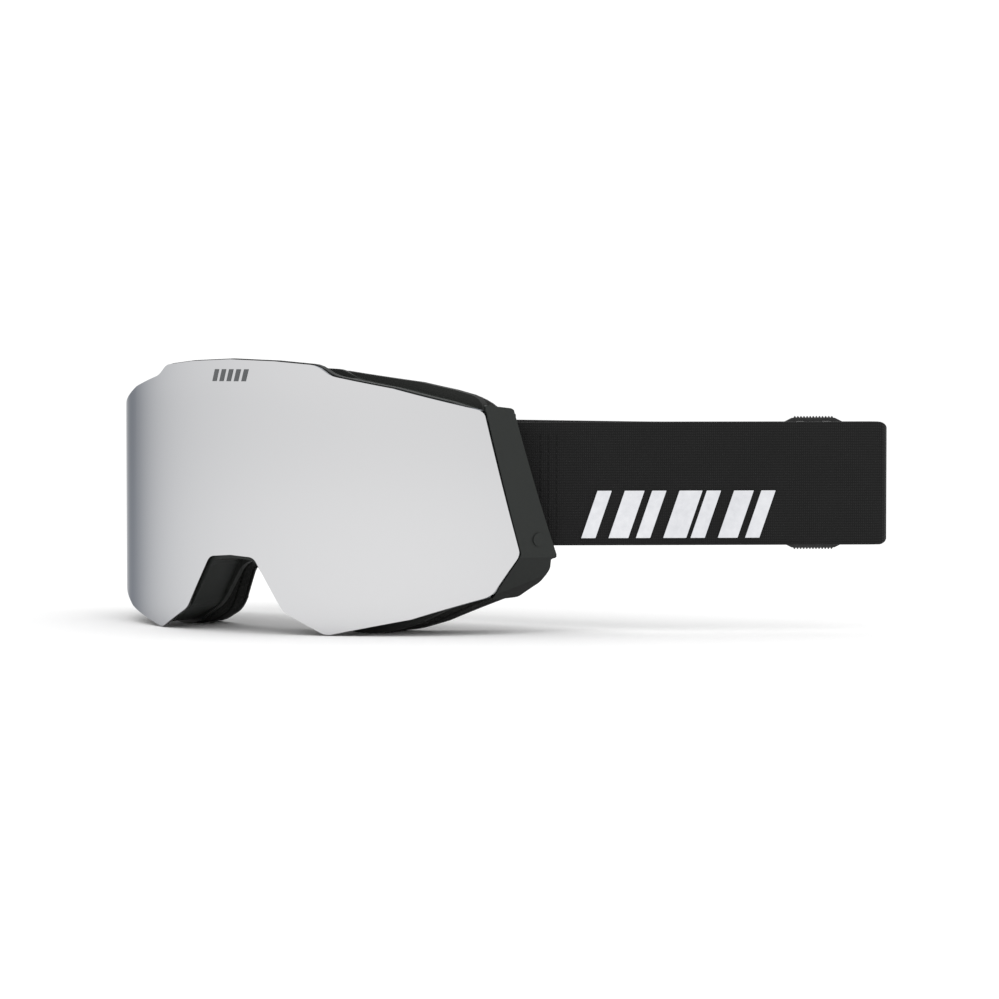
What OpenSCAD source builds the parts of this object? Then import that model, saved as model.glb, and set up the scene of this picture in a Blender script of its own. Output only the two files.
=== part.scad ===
// Ski goggles: a cylindrical mirror lens held by magnets on a frame with face foam,
// side outriggers and an elastic strap that is folded flat to the wearer's left.
// +Z is up, the goggles face -Y and +X is the wearer's left.
// The origin is on the plane of symmetry, level with the surface that the goggles
// stand on, directly under the foremost point of the lens.

/* [Lens] */
// Width of the outer lens, seen from the front
lens_w = 184; // [160:1:220]
// Height of the outer lens, from its tips to the crest of its tab
lens_h = 99.5; // [90:0.5:120]
// Angle that half of the lens wraps round the head, in degrees
lens_wrap = 59.4; // [52:0.2:61]
// Thickness of the outer lens
outer_lens_t = 1.4; // [1:0.1:2]
// Thickness of the inner lens
inner_lens_t = 1.0; // [0.8:0.1:1.4]
// Sealed air gap between the two lenses
lens_air_gap = 2.6; // [2:0.1:3.4]
// Half width of the finger tab at the top of the lens
tab_half_w = 34.8; // [26:0.2:42]
// Height of the finger tab above the edge of the lens beside it
tab_rise = 3.9; // [2.5:0.1:5]
// Distance from the crest down to the top corner of the temple edge
temple_drop = 18.6; // [15:0.2:21]
// How far the temple edge leans in from its foot to its top
temple_lean = 7.9; // [4:0.1:10]
// Height of the lower outer corner of the lens
jaw_z = 14; // [11:0.2:16]
// How far the lower outer corner sits in from the widest point
jaw_cut = 6.2; // [4:0.1:9]
// How far the corners of the lens are rounded back along its edges
lens_corner = 1.8; // [1:0.1:3]
// Half distance between the two lower tips
tip_x = 38.2; // [34:0.2:44]

/* [Nose] */
// Half width of the nose notch at its top
notch_half_w = 10.2; // [8:0.1:12]
// Height of the top of the nose notch
notch_h = 27.6; // [22:0.2:32]
// Half width where the notch flares out
flare_half_w = 22.4; // [19:0.2:25]
// Height where the notch flares out
flare_z = 8.1; // [6:0.1:10]

/* [Frame] */
// Radial thickness of the lens bed
bed_t = 2.2; // [1.6:0.1:3]
// Width of the lens bed, seen from the front
bed_w = 8; // [6.5:0.1:9]
// Thickness of the frame's walls
wall_t = 2.4; // [1.6:0.1:3]
// Distance from the widest point of the lens in to the side wall of the frame
side_inset = 14.1; // [13:0.1:16]
// Depth from the front of the lens to the back of the face foam, at the centre
depth_centre = 36; // [34:0.5:44]
// Radius of the face curve at the back of the foam
face_r = 98; // [94:1:112]
// Length of one vent slot
vent_l = 13; // [8:0.5:15]
// Thickness of the vent foam
vent_foam_t = 2.4; // [1.5:0.1:3]

/* [Face foam] */
// Thickness of the face flange that carries the foam
flange_t = 2.5; // [2:0.1:3]
// Thickness of the firm foam layer
base_foam_t = 7; // [4:0.5:8]
// Thickness of the soft foam layer
mid_foam_t = 6; // [4:0.5:7]
// Thickness of the fleece against the face
fleece_t = 2; // [1:0.1:3]
// Width of the foam ring, seen from the front
foam_w = 10; // [8:0.2:11]
// How far the fleece flares out beside the temples
temple_flare = 5; // [2:0.5:5]

/* [Outriggers] */
// Length of the outrigger behind the lens at its top, along the curve
outrigger_top_run = 11; // [9:0.5:12]
// Length of the outrigger behind the lens at its foot, along the curve
outrigger_low_run = 14.5; // [12:0.5:15.5]
// Thickness of the outrigger's shell
outrigger_t = 2.4; // [1.8:0.1:2.8]
// Radius of the bar that the strap is sewn round
bar_r = 1.5; // [1.2:0.1:1.8]
// Radius of the shank of the outrigger screws
screw_r = 1; // [0.8:0.1:1.2]

/* [Strap] */
// Width of the strap's webbing
strap_w = 45; // [36:0.5:52]
// Thickness of the webbing
strap_t = 1.5; // [1.2:0.1:2]
// Height of the middle of the strap
strap_z = 54.2; // [50:0.2:57]
// Direction of the folded strap, in degrees from +X towards +Y
strap_dir = 38; // [34:1:42]
// Length from the anchor bar to the fold
strap_run = 138.5; // [125:0.5:200]
// Gap between the two layers of the folded strap
fold_gap = 2.6; // [2.4:0.1:4]

/* [Slider] */
// Length of the slider along the strap
slider_l = 21; // [20:0.5:26]
// Thickness of the slider
slider_t = 1.8; // [1.4:0.1:2.4]
// Height of the slider's toothed ends beyond the edges of the webbing
slider_lip = 2; // [1.5:0.1:3]
// Distance from the slider to the fold, where it is stored
slider_back = 16; // [12:0.5:22]
// Number of teeth on each end of the slider
slider_teeth = 13; // [9:1:17]

/* [Hidden] */
$fn = 96;
// running gap between the lens and the frame, and between the lens and the outriggers
lens_gap = 0.3;
edge_gap = 0.4;
// glue line between parts that are bonded to each other
bond = 0.05;
// clearance of a pin or screw in its hole
pin_clear = 0.02;
// clearance of the lens pegs in their holes
peg_clear = 0.25;
// overlap that makes two shapes of one part into one
weld = 0.4;
// extra length of a cutter past the faces that it cuts
over = 1;
lens_half_w = lens_w / 2;
lens_r = lens_half_w / sin(lens_wrap);
bed_r = lens_r - outer_lens_t - lens_gap;
opening_r = bed_r - bed_t;
frame_x = lens_half_w - side_inset;
temple_top = [lens_half_w - temple_lean, lens_h - temple_drop];
foam_t = base_foam_t + mid_foam_t + fleece_t;
face_y = depth_centre + face_r;
flange_r = face_r + foam_t;
ring_r = flange_r + flange_t;
// distance that the stitches need outside the webbing
stitch_room = 0.6;
// the deepest plane that any front-view cut has to reach
far_y = 0.95 * lens_r;
// arms of the outriggers: thickness, gap to the strap's edge, reach across and front limit
arm_t = 2.4;
arm_gap = 0.6;
arm_w = 9;
arm_front = 30;
foot_z = strap_z - strap_w / 2 - arm_gap - arm_t;
head_z = strap_z + strap_w / 2 + arm_gap + arm_t;
// magnets, the steel discs facing them and the locating pegs
magnet_r = 2.5;
magnet_t = 1.2;
keeper_t = 0.8;
peg_r = 1.4;
peg_l = 3;
// straight steps in each rounded corner
corner_steps = 3;

// ---- outlines, as points [x, z] of the right half from the top to the nose ----

// lens: crest, tab, temple edge, jaw, tip and nose notch
lens_half = [
  [0, lens_h],
  [tab_half_w * 0.55, lens_h - 0.7],
  [tab_half_w, lens_h - 2.1],
  [tab_half_w + 5.3, lens_h - 2.1 - tab_rise],
  [lens_half_w * 0.65, lens_h - temple_drop * 0.56],
  [lens_half_w * 0.82, lens_h - temple_drop * 0.84],
  temple_top,
  [lens_half_w, foot_z],
  [lens_half_w - jaw_cut, jaw_z],
  [(lens_half_w + tip_x) / 2, jaw_z * 0.43],
  [tip_x, 0],
  [flare_half_w, flare_z],
  [notch_half_w, notch_h],
  [0, notch_h + 0.7]
];
// frame: just inside the lens, but a little into the nose notch
frame_half = [
  [0, lens_h - 1.9],
  [tab_half_w, lens_h - 3.6],
  [tab_half_w + 5.3, lens_h - 3 - tab_rise],
  [lens_half_w * 0.65, lens_h - temple_drop * 0.56 - 1],
  [frame_x, temple_top[1] + 1],
  [frame_x, foot_z],
  [frame_x - 3, jaw_z - 1.5],
  [(frame_x + tip_x) / 2, jaw_z * 0.43],
  [tip_x + 1, 1.2],
  [flare_half_w - 0.8, flare_z + 0.3],
  [notch_half_w - 0.8, notch_h - 1.2],
  [0, notch_h - 0.5]
];
// face foam and flange: stand on the surface below the cheeks and flare beside the temples;
// open is 0 for the flange, which stands up behind the top of the lens, and 1 for the foam,
// which is lower there and has a wider nose notch
function foam_half(flare, open) = [
  [0, lens_h - 2 - open * 0.4],
  [tab_half_w, lens_h - 4.2 - open * 1.8],
  [frame_x * 0.768, lens_h - temple_drop * 0.56 + 2.2 - open * 2.7],
  [frame_x * 0.898, lens_h - temple_drop * 0.77 + 3.3 - open * 3.3],
  [frame_x + flare * 0.2, temple_top[1] + 4.6 - open * 3.6 - flare * 2],
  [frame_x + flare, strap_z],
  [frame_x + flare * 0.8, foot_z],
  [frame_x - 1.5 + flare * 0.5, jaw_z],
  [(frame_x + tip_x) / 2 + 1, jaw_z * 0.25],
  [tip_x + (frame_x - tip_x) * 0.277, 0],
  [tip_x - 1, 0],
  [flare_half_w - 2 + open * 3.6, flare_z + 0.6 - open * 3],
  [notch_half_w - 1.4 + open * 7.4, notch_h - 3 - open * 1.4],
  [0, notch_h - 2]
];

function unit(v) = v / norm(v);
function inward(a, b) = let(e = unit(b - a)) [e[1], -e[0]];
// both halves of an outline, clockwise from the top centre
function both(half) = concat(half, [for (i = [len(half) - 2:-1:1]) [-half[i][0], half[i][1]]]);
// an outline moved inwards by d, with mitred corners
function inset(pts, d) = let(n = len(pts)) [
  for (i = [0:n - 1])
    let(p = pts[i], a = inward(pts[(i + n - 1) % n], p), b = inward(p, pts[(i + 1) % n]))
      p + d * (a + b) / (1 + a * b)
];
// an outline with its sharp corners rounded, each corner no more than r from its point
function rounded(pts, r) = let(n = len(pts)) [
  for (i = [0:n - 1])
    let(
      p = pts[i], q = pts[(i + n - 1) % n] - p, s = pts[(i + 1) % n] - p,
      c = min(r, norm(q) * 0.4, norm(s) * 0.4), a = p + c * unit(q), b = p + c * unit(s)
    )
      each (unit(q) * unit(s) < -0.97 ? [p] :
        [for (k = [0:corner_steps]) let(t = k / corner_steps)
          (1 - t) * (1 - t) * a + 2 * t * (1 - t) * p + t * t * b])
];

// ---- shared solids ----

// an outline seen from the front, run back along Y
module front_prism(pts) {
  translate([0, far_y, 0]) rotate([90, 0, 0]) linear_extrude(far_y + over) polygon(pts);
}
// a solid cylinder concentric with the lens
module lens_cyl(r) {
  translate([0, lens_r, -over]) cylinder(r = r, h = lens_h + 2 * over);
}
// a solid cylinder concentric with the face curve
module face_cyl(r) {
  translate([0, face_y, -over]) cylinder(r = r, h = lens_h + 2 * over);
}
// a curved sheet of the lens family, between two radii, with a front outline and a hole
module lens_sheet(r_out, r_in, outline, hole) {
  difference() {
    intersection() {
      front_prism(outline);
      lens_cyl(r_out);
    }
    lens_cyl(r_in);
    if (len(hole) > 0) front_prism(hole);
  }
}
// a ring of the face family, between two radii
module face_ring(r_out, r_in, outline, hole) {
  difference() {
    intersection() {
      front_prism(outline);
      face_cyl(r_out);
    }
    face_cyl(r_in);
    front_prism(hole);
  }
}
// places children at a front-view point of the lens, with +Z along the outward normal
module on_lens(p, r) {
  a = asin(p[0] / r);
  translate([r * sin(a), lens_r - r * cos(a), p[1]]) rotate([0, 0, a]) rotate([90, 0, 0]) children();
}

// ---- places of the magnets and pegs, on the middle of the lens bed ----

magnet_x = [22, frame_x - bed_w / 2, frame_x - bed_w / 2 - 1.5, tip_x + 4];
magnet_z = [lens_h - 2.8 - bed_w / 2, temple_top[1] - 14, foot_z - 2, 2 + bed_w / 2];
peg_x = [frame_x * 0.68, frame_x * 0.78];
peg_z = [lens_h - temple_drop * 0.56 - 0.5 - bed_w / 2, jaw_z * 0.6 + bed_w / 2];

opening = inset(both(frame_half), bed_w);

// ---- lens ----

module outer_lens() color([0.84, 0.85, 0.86])
  lens_sheet(lens_r, lens_r - outer_lens_t, rounded(both(lens_half), lens_corner), []);

// foam spacer that seals the air gap round its edge
module lens_spacer() color([0.1, 0.1, 0.1]) {
  r = lens_r - outer_lens_t - bond;
  lens_sheet(r, r - lens_air_gap, rounded(inset(opening, 0.6), 6), rounded(inset(opening, 3.6), 6));
}

module inner_lens() color([0.75, 0.78, 0.8]) {
  r = lens_r - outer_lens_t - lens_air_gap - 2 * bond;
  lens_sheet(r, r - inner_lens_t, rounded(inset(opening, 0.6), 6), []);
}

// a child at each magnet place, on both sides, at radius r
module at_magnets(r) {
  for (i = [0:len(magnet_x) - 1])
    for (side = [-1, 1])
      on_lens([side * magnet_x[i], magnet_z[i]], r) children();
}

// steel discs bonded inside the outer lens
module lens_keepers() color([0.6, 0.6, 0.62])
  at_magnets(lens_r - outer_lens_t - bond - keeper_t) cylinder(r = magnet_r, h = keeper_t - 0.1);

// pegs that locate the lens, pointing back along Y
module peg_row(r, l) {
  for (i = [0:len(peg_x) - 1])
    for (side = [-1, 1]) {
      y = lens_r - sqrt(pow(lens_r - outer_lens_t, 2) - pow(peg_x[i] + r, 2)) + bond;
      translate([side * peg_x[i], y, peg_z[i]]) rotate([-90, 0, 0]) cylinder(r = r, h = l);
    }
}
module lens_pegs() color([0.2, 0.2, 0.2]) peg_row(peg_r, peg_l);

// small plain badge printed on the tab: a row of slanted bars
module lens_tab_mark() color([0.35, 0.36, 0.37]) {
  bar_w = 2;
  bar_h = 4.4;
  pitch = 3.4;
  lean = 1.3;
  z = lens_h - 8;
  for (i = [-2:2]) {
    x = i * pitch - (bar_w + lean) / 2;
    lens_sheet(lens_r + 0.12, lens_r + 0.02, [
      [x + lean, z + bar_h],
      [x + lean + bar_w, z + bar_h],
      [x + bar_w, z],
      [x, z]
    ], []);
  }
}

// ---- frame ----

// pockets, peg holes, vents and screw holes that pass through the frame
module frame_cuts() {
  at_magnets(lens_r - outer_lens_t - lens_gap - keeper_t - magnet_t - bond)
    cylinder(r = magnet_r + bond, h = magnet_t + keeper_t + over);
  at_magnets(bed_r - keeper_t) cylinder(r = magnet_r + 0.8, h = keeper_t + over);
  translate([0, -over, 0]) peg_row(peg_r + peg_clear, peg_l + 2 * over);
  vent_slots();
  screw_holes();
}

// a row of slots between the lens bed and the face flange
module vent_band() {
  difference() {
    lens_cyl(opening_r - 1.6);
    face_cyl(ring_r + 1.6);
  }
}

module vent_slots() {
  pitch = vent_l + 4;
  // two short slots in each lower wall
  low_vent_in = 14;
  low_vent_pitch = 13;
  low_vent_w = 9;
  intersection() {
    vent_band();
    union() {
      for (i = [-2:2])
        translate([i * pitch - vent_l / 2, -over, lens_h - temple_drop - 3])
          cube([vent_l, far_y, temple_drop + 4]);
      for (side = [-1, 1])
        for (i = [0:1])
          translate([side * (tip_x + low_vent_in + i * low_vent_pitch), -over, -over])
            translate([-low_vent_w / 2, 0, 0]) cube([low_vent_w, far_y, jaw_z + over]);
    }
  }
}

// holes of the two screws on each side that hold the outriggers
screw_y = lens_r - sqrt(pow(opening_r, 2) - pow(frame_x, 2)) + 3.8;
screw_z = [strap_z - 14, strap_z + 14];
screw_head_r = 1.7;
screw_head_t = 1.2;
// how far each screw reaches into the pad of its outrigger
screw_bite = 1.8;
module screw_holes() {
  for (z = screw_z)
    for (side = [-1, 1])
      translate([side * (frame_x - wall_t - over), screw_y, z]) rotate([0, side * 90, 0])
        cylinder(r = screw_r + pin_clear, h = wall_t + over + 4);
}

module frame_chassis() color([0.24, 0.25, 0.24]) {
  difference() {
    union() {
      lens_sheet(bed_r, opening_r, rounded(bed_outline(), 3), rounded(opening, 6));
      intersection() {
        front_prism(rounded(both(frame_half), 3));
        difference() {
          lens_cyl(opening_r + weld);
          face_cyl(ring_r);
          front_prism(rounded(inset(both(frame_half), wall_t), 3));
        }
      }
    }
    frame_cuts();
  }
}

// front outline of the lens bed: a line proud of the top of the lens, a margin inside its
// sides and the frame in the nose notch
bed_proud = 0.3;
bed_margin = 1;
function bed_outline() = let(
  out = inset(both(lens_half), -bed_proud), m = inset(both(lens_half), bed_margin),
  f = both(frame_half), n = len(lens_half)
)
  concat(
    [for (i = [0:5]) out[i]],
    [for (i = [6:n - 4]) m[i]],
    [for (i = [-2:2]) f[len(frame_half) - 1 + i]],
    [for (i = [n + 2:len(m) - 6]) m[i]],
    [for (i = [len(m) - 5:len(m) - 1]) out[i]]
  );

module frame_magnets() color([0.7, 0.7, 0.72])
  at_magnets(bed_r - keeper_t - magnet_t) cylinder(r = magnet_r, h = magnet_t - bond);

module face_flange() color([0.2, 0.21, 0.2])
  face_ring(
    ring_r - bond, flange_r, rounded(both(foam_half(0, 0)), 3),
    rounded(inset(both(frame_half), foam_w * 0.6), 4)
  );

// lining of the frame's walls with vent foam, clear of the pegs
module vent_lining() {
  intersection() {
    difference() {
      front_prism(rounded(inset(both(frame_half), wall_t + 0.3), 3));
      front_prism(rounded(inset(both(frame_half), wall_t + 0.3 + vent_foam_t), 3));
      face_cyl(ring_r + 0.3);
    }
    lens_cyl(opening_r - 2.4);
  }
}

// foam strip under the vented top wall
module top_vent_foam() color([0.12, 0.12, 0.12]) {
  difference() {
    vent_lining();
    translate([-lens_w, -over, -over]) cube([2 * lens_w, lens_w, temple_top[1] + 1]);
  }
}

// foam strip over the vents in the lower wall of one side
module lower_vent_foam(side) {
  intersection() {
    vent_lining();
    translate([side > 0 ? tip_x + 6 : -frame_x + 5, -over, -over])
      cube([frame_x - tip_x - 11, lens_w, jaw_z + 8]);
  }
}
module lower_vent_foam_left() color([0.12, 0.12, 0.12]) lower_vent_foam(1);
module lower_vent_foam_right() color([0.12, 0.12, 0.12]) lower_vent_foam(-1);

// ---- face foam ----

module foam_layer(r_front, t, flare) {
  outline = both(foam_half(flare, 1));
  hole = inset(outline, foam_w + flare * 0.5);
  face_ring(r_front - bond, r_front - t, rounded(outline, 4), rounded(hole, 5));
}
module face_foam_base() color([0.14, 0.14, 0.13]) foam_layer(flange_r, base_foam_t, 0);
module face_foam_middle() color([0.2, 0.2, 0.19])
  foam_layer(flange_r - base_foam_t, mid_foam_t, temple_flare * 0.6);
module face_fleece() color([0.1, 0.1, 0.1]) foam_layer(face_r + fleece_t, fleece_t, temple_flare);

// ---- outriggers and strap bars ----

// front-view edge of the lens at height z
function edge_x(z) = lens_half_w - temple_lean * (z - foot_z) / (temple_top[1] - foot_z);
// depth of the front of the lens curve at x
function lens_y(x) = lens_r - sqrt(pow(lens_r, 2) - pow(x, 2));
// front-view position a run further round the lens curve, in a view turned round the lens axis
function round_x(x, run, turn = 0) = lens_r * sin(asin(x / lens_r) + run * 180 / (PI * lens_r) - turn);

bar = [frame_x + 4.1, lens_r - sqrt(pow(opening_r, 2) - pow(frame_x, 2)) + 20.2];
shell_r = lens_r - outrigger_t;

module outrigger() {
  front = edge_gap;
  top_z = head_z + 1.8;
  top_x = edge_x(top_z) + front;
  low_x = edge_x(foot_z) + front;
  // the shell is cut square to its own surface
  turn = lens_wrap;
  jaw_x = lens_half_w - jaw_cut;
  face = [
    [round_x(top_x, 0, turn), top_z + 1.6],
    [round_x(top_x, outrigger_top_run, turn), top_z + 0.3],
    [round_x(low_x, outrigger_low_run, turn), foot_z],
    [round_x(low_x, outrigger_low_run, turn), foot_z - 1.3],
    [round_x(low_x, outrigger_low_run * 0.84, turn), foot_z - 1.7],
    [round_x(low_x, outrigger_low_run * 0.82, turn), foot_z - 5.2],
    [round_x(low_x, outrigger_low_run * 0.58, turn), foot_z - 10],
    [round_x(low_x, outrigger_low_run * 0.35, turn), foot_z - 12],
    [round_x(low_x, 0, turn), jaw_z - 0.6],
    [round_x(jaw_x, 0, turn), jaw_z - 2.4],
    [round_x(jaw_x - 1, 0, turn), jaw_z + 1],
    [round_x(lens_half_w - 2, 0, turn), foot_z - 1],
    [round_x(low_x - 0.2, 0, turn), foot_z]
  ];
  arm = [
    [frame_x + bond, screw_y - 6],
    [frame_x + bond, screw_y + 3.2],
    [bar[0] - bar_r - 1.1, bar[1]],
    [bar[0] + bar_r + 1.1, bar[1] + 0.5]
  ];
  top_out = round_x(top_x, outrigger_top_run);
  low_out = round_x(low_x, outrigger_low_run);
  difference() {
    union() {
      translate([0, lens_r, 0]) rotate([0, 0, turn]) translate([0, -lens_r, 0])
        lens_sheet(lens_r, shell_r, rounded(face, 1.2), []);
      // arms that carry the ends of the bar
      intersection() {
        union() {
          translate([0, 0, head_z - arm_t]) linear_extrude(arm_t)
            polygon(concat(arm, [[top_out, lens_y(top_out)], [top_out - arm_w, arm_front]]));
          translate([0, 0, foot_z]) linear_extrude(arm_t)
            polygon(concat(arm, [[low_out, lens_y(low_out)], [low_out - arm_w, arm_front]]));
        }
        lens_cyl(shell_r + weld);
      }
      for (z = [foot_z, head_z - arm_t])
        translate([bar[0], bar[1], z]) cylinder(r = bar_r + 1.1, h = arm_t);
      // pad against the side of the frame
      intersection() {
        translate([frame_x + bond, screw_y - 4, foot_z]) cube([2, 7.2, head_z - foot_z]);
        lens_cyl(opening_r - bond);
      }
    }
    // room for the lens bed and the lens
    lens_sheet(lens_r + over, opening_r - bond, inset(both(lens_half), -edge_gap), []);
    face_keepout();
    // room for the strap and its stitches where it leaves the bar
    in_strap() translate([0, near_y - strap_t - stitch_room, -arm_gap / 2])
      cube([3 * strap_w / 2, strap_w / 2, strap_w + arm_gap]);
    translate([bar[0], bar[1], foot_z + 0.8]) cylinder(r = bar_r + pin_clear, h = head_z - foot_z - 1.6);
    screw_holes();
  }
}
// room for the foam and flange beside the outrigger
module face_keepout() {
  intersection() {
    front_prism(inset(both(foam_half(0, 0)), -0.4));
    face_cyl(ring_r + 0.4);
  }
}

module outrigger_left() color([0.25, 0.26, 0.25]) outrigger();
module outrigger_right() color([0.25, 0.26, 0.25]) mirror([1, 0, 0]) outrigger();

// plain round boss low on each outrigger
module outrigger_bosses() color([0.22, 0.23, 0.22]) {
  x = round_x(edge_x(foot_z + 5), outrigger_low_run * 0.62);
  for (side = [-1, 1])
    on_lens([side * x, foot_z + 5.5], lens_r + 0.02) cylinder(r = 2.4, h = 0.5);
}

// screws from inside the frame into the pads of the outriggers
module outrigger_screws() color([0.6, 0.6, 0.62]) {
  for (z = screw_z)
    for (side = [-1, 1])
      translate([side * (frame_x - wall_t - screw_head_t - bond), screw_y, z]) rotate([0, side * 90, 0]) {
        cylinder(r = screw_head_r, h = screw_head_t);
        cylinder(r = screw_r, h = wall_t + screw_head_t + screw_bite);
      }
}

module strap_bar() {
  translate([bar[0], bar[1], foot_z + 0.85]) cylinder(r = bar_r, h = head_z - foot_z - 1.7);
}
module strap_bar_left() color([0.6, 0.6, 0.62]) strap_bar();
module strap_bar_right() color([0.6, 0.6, 0.62]) mirror([1, 0, 0]) strap_bar();

// ---- strap: laid out from the left bar, x along the fold's direction, y away from it ----

loop_in = bar_r + bond;
loop_out = loop_in + strap_t;
// inner face of the outer run, and the middle of the fold
near_y = -loop_in;
fold_y = near_y + fold_gap / 2;
return_y = near_y + fold_gap;
fold_x = strap_run - fold_gap / 2 - strap_t;
strap_low = strap_z - strap_w / 2;
bend_r = 25;
corner_r = 9;
// direction that the strap leaves the right bar, in degrees from +X
leave_dir = 115;

module in_strap() translate([bar[0], bar[1], strap_low]) rotate([0, 0, strap_dir]) children();

// points along an arc
function arc(c, r, a0, a1, n) = [for (i = [0:n]) let(a = a0 + (a1 - a0) * i / n) c + r * [cos(a), sin(a)]];

// the end of the webbing sewn back on itself round a bar at the origin, tail on the +Y side
tail_l = 19;
loop_steps = 10;
loop_outline = concat(
  [[tail_l, near_y], [tail_l, near_y + strap_t], [10, near_y + strap_t], [1, loop_out]],
  arc([0, 0], loop_out, 90, 270, loop_steps)
);
loop_hole = concat(arc([0, 0], loop_in, 90, 270, loop_steps), [[8, near_y], [0.6, loop_in]]);

// webbing of the strap's width with a plan outline and a hole for its bar
module webbing(outline, hole) {
  difference() {
    linear_extrude(strap_w) polygon(outline);
    translate([0, 0, -over]) linear_extrude(strap_w + 2 * over) polygon(hole);
  }
}

module strap_outer_run() color([0.15, 0.15, 0.15]) in_strap()
  webbing(concat([[fold_x, near_y]], loop_outline, [[fold_x, near_y - strap_t]]), loop_hole);

module strap_fold() color([0.16, 0.16, 0.16]) in_strap()
  translate([fold_x + bond, fold_y, 0]) rotate([0, 0, -90]) rotate_extrude(angle = 180)
    translate([fold_gap / 2, 0]) square([strap_t, strap_w]);

// start of the bend that leads behind the face foam
back_y = lens_r - sqrt(pow(opening_r, 2) - pow(frame_x, 2)) + 52.8;
bend_x = (back_y + bend_r * (1 - cos(strap_dir)) - bar[1] - return_y * cos(strap_dir)) / sin(strap_dir);

module strap_return_run() color([0.15, 0.15, 0.15]) in_strap()
  translate([bend_x + bond, return_y, 0]) cube([fold_x - bend_x - bond, strap_t, strap_w]);

function out_of_strap(p) = [
  bar[0] + p[0] * cos(strap_dir) - p[1] * sin(strap_dir),
  bar[1] + p[0] * sin(strap_dir) + p[1] * cos(strap_dir)
];

// across the back and round the right side to the right bar
bend_c = out_of_strap([bend_x, return_y + bend_r]);
corner_y = bend_c[1] - bend_r - corner_r;
// along the webbing as it leaves the right bar, and across it towards the face
leave = [cos(leave_dir), sin(leave_dir)];
across = [sin(leave_dir), -cos(leave_dir)];
function right_end(p) = [-bar[0], bar[1]] + p[0] * leave + p[1] * across;
rise = (corner_y - bar[1] - across[1] * (corner_r - loop_in)) / leave[1];
corner_c = right_end([rise, corner_r - loop_in]);

module strap_back_run() color([0.15, 0.15, 0.15]) translate([0, 0, strap_low])
  webbing(
    concat(
      arc(bend_c, bend_r, 270 + strap_dir, 270, 8),
      arc(corner_c, corner_r, 90, 90 + leave_dir, 14),
      [for (p = loop_outline) right_end(p)],
      arc(corner_c, corner_r + strap_t, 90 + leave_dir, 90, 14),
      arc(bend_c, bend_r - strap_t, 270, 270 + strap_dir, 8)
    ),
    [for (p = loop_hole) right_end(p)]
  );

// rows of thread that close the anchor loops, on the outside of the webbing
module tack(x, y) {
  for (i = [0:2])
    translate([x + i * 3, y, 3]) cube([0.8, 0.25, strap_w - 6]);
}
module strap_stitching() color([0.1, 0.1, 0.1]) {
  in_strap() tack(11, near_y - strap_t - 0.27);
  translate([-bar[0], bar[1], strap_low]) mirror([1, 0, 0]) rotate([0, 0, 180 - leave_dir])
    tack(11, near_y - strap_t - 0.27);
}

// silicone lines on the inside of the outer run, against the helmet
module strap_grip_beads() color([0.2, 0.2, 0.2]) in_strap()
  for (i = [-1:1])
    translate([36, near_y + bond, strap_w / 2 + i * 12 - 0.8]) cube([strap_run - 50, 0.5, 1.6]);

// raised plain bars on the outside of the strap
module strap_badge() color([0.8, 0.8, 0.82]) in_strap() {
  start = 26;
  widths = [5.4, 7.4, 5.4, 8.6, 5.4, 7.4, 5.4];
  lean = 6;
  low = 2.6;
  high = 20;
  pitch = 10;
  for (i = [0:len(widths) - 1])
    translate([start + i * pitch, near_y - strap_t - bond, 0]) rotate([90, 0, 0]) linear_extrude(0.5)
      polygon([[0, low], [widths[i], low], [widths[i] + lean, high], [lean, high]]);
}

// ---- slider, on the outside of the return run ----

slider_x = strap_run - slider_back - slider_l;
slider_y = return_y + strap_t + 0.3;
// bars of the slider: one at each side and the one that the webbing is woven over
side_bar = 4;
mid_bar = 3.6;
slot_w = (slider_l - 2 * side_bar - mid_bar) / 2;

// the slider's end beyond one edge of the webbing: a sloped shoulder with a row of teeth, as
// points [x, height above the edge]
tooth_h = 0.7;
shoulder = 2.6;
tooth_pitch = (slider_l - 2 * shoulder - 1) / slider_teeth;
function comb() = let(crest = slider_lip - tooth_h) concat(
  [[0, 0], [shoulder, crest]],
  [for (i = [0:slider_teeth - 1]) let(x = shoulder + 0.5 + i * tooth_pitch)
    each [[x + 0.1, crest], [x + tooth_pitch / 2, slider_lip], [x + tooth_pitch - 0.1, crest]]],
  [[slider_l - shoulder, crest], [slider_l, 0]]
);

module slider_frame() color([0.12, 0.12, 0.12]) in_strap() translate([slider_x, slider_y + slider_t, 0]) {
  c = comb();
  difference() {
    rotate([90, 0, 0]) linear_extrude(slider_t)
      polygon(concat(
        [for (p = c) [p[0], strap_w + p[1]]],
        [for (i = [len(c) - 1:-1:0]) [c[i][0], -c[i][1]]]
      ));
    for (i = [0, 1])
      translate([side_bar + i * (slot_w + mid_bar), -slider_t - over, -bond])
        cube([slot_w, slider_t + 2 * over, strap_w + 2 * bond]);
  }
}

// end of the webbing woven over the middle bar of the slider
module slider_wrap() color([0.16, 0.16, 0.16]) in_strap() translate([slider_x, slider_y, 0]) {
  x0 = side_bar + slot_w - 0.2 - strap_t;
  x1 = side_bar + slot_w + mid_bar + 0.2 + strap_t;
  top = slider_t + 0.1;
  cut = 0.6;
  high = top + strap_t;
  linear_extrude(strap_w)
    polygon([
      [x0, 0], [x0 + strap_t, 0], [x0 + strap_t, top], [x1 - strap_t, top], [x1 - strap_t, 0],
      [x1, 0], [x1, high - cut], [x1 - cut, high], [x0 + cut, high], [x0, high - cut]
    ]);
}

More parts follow.
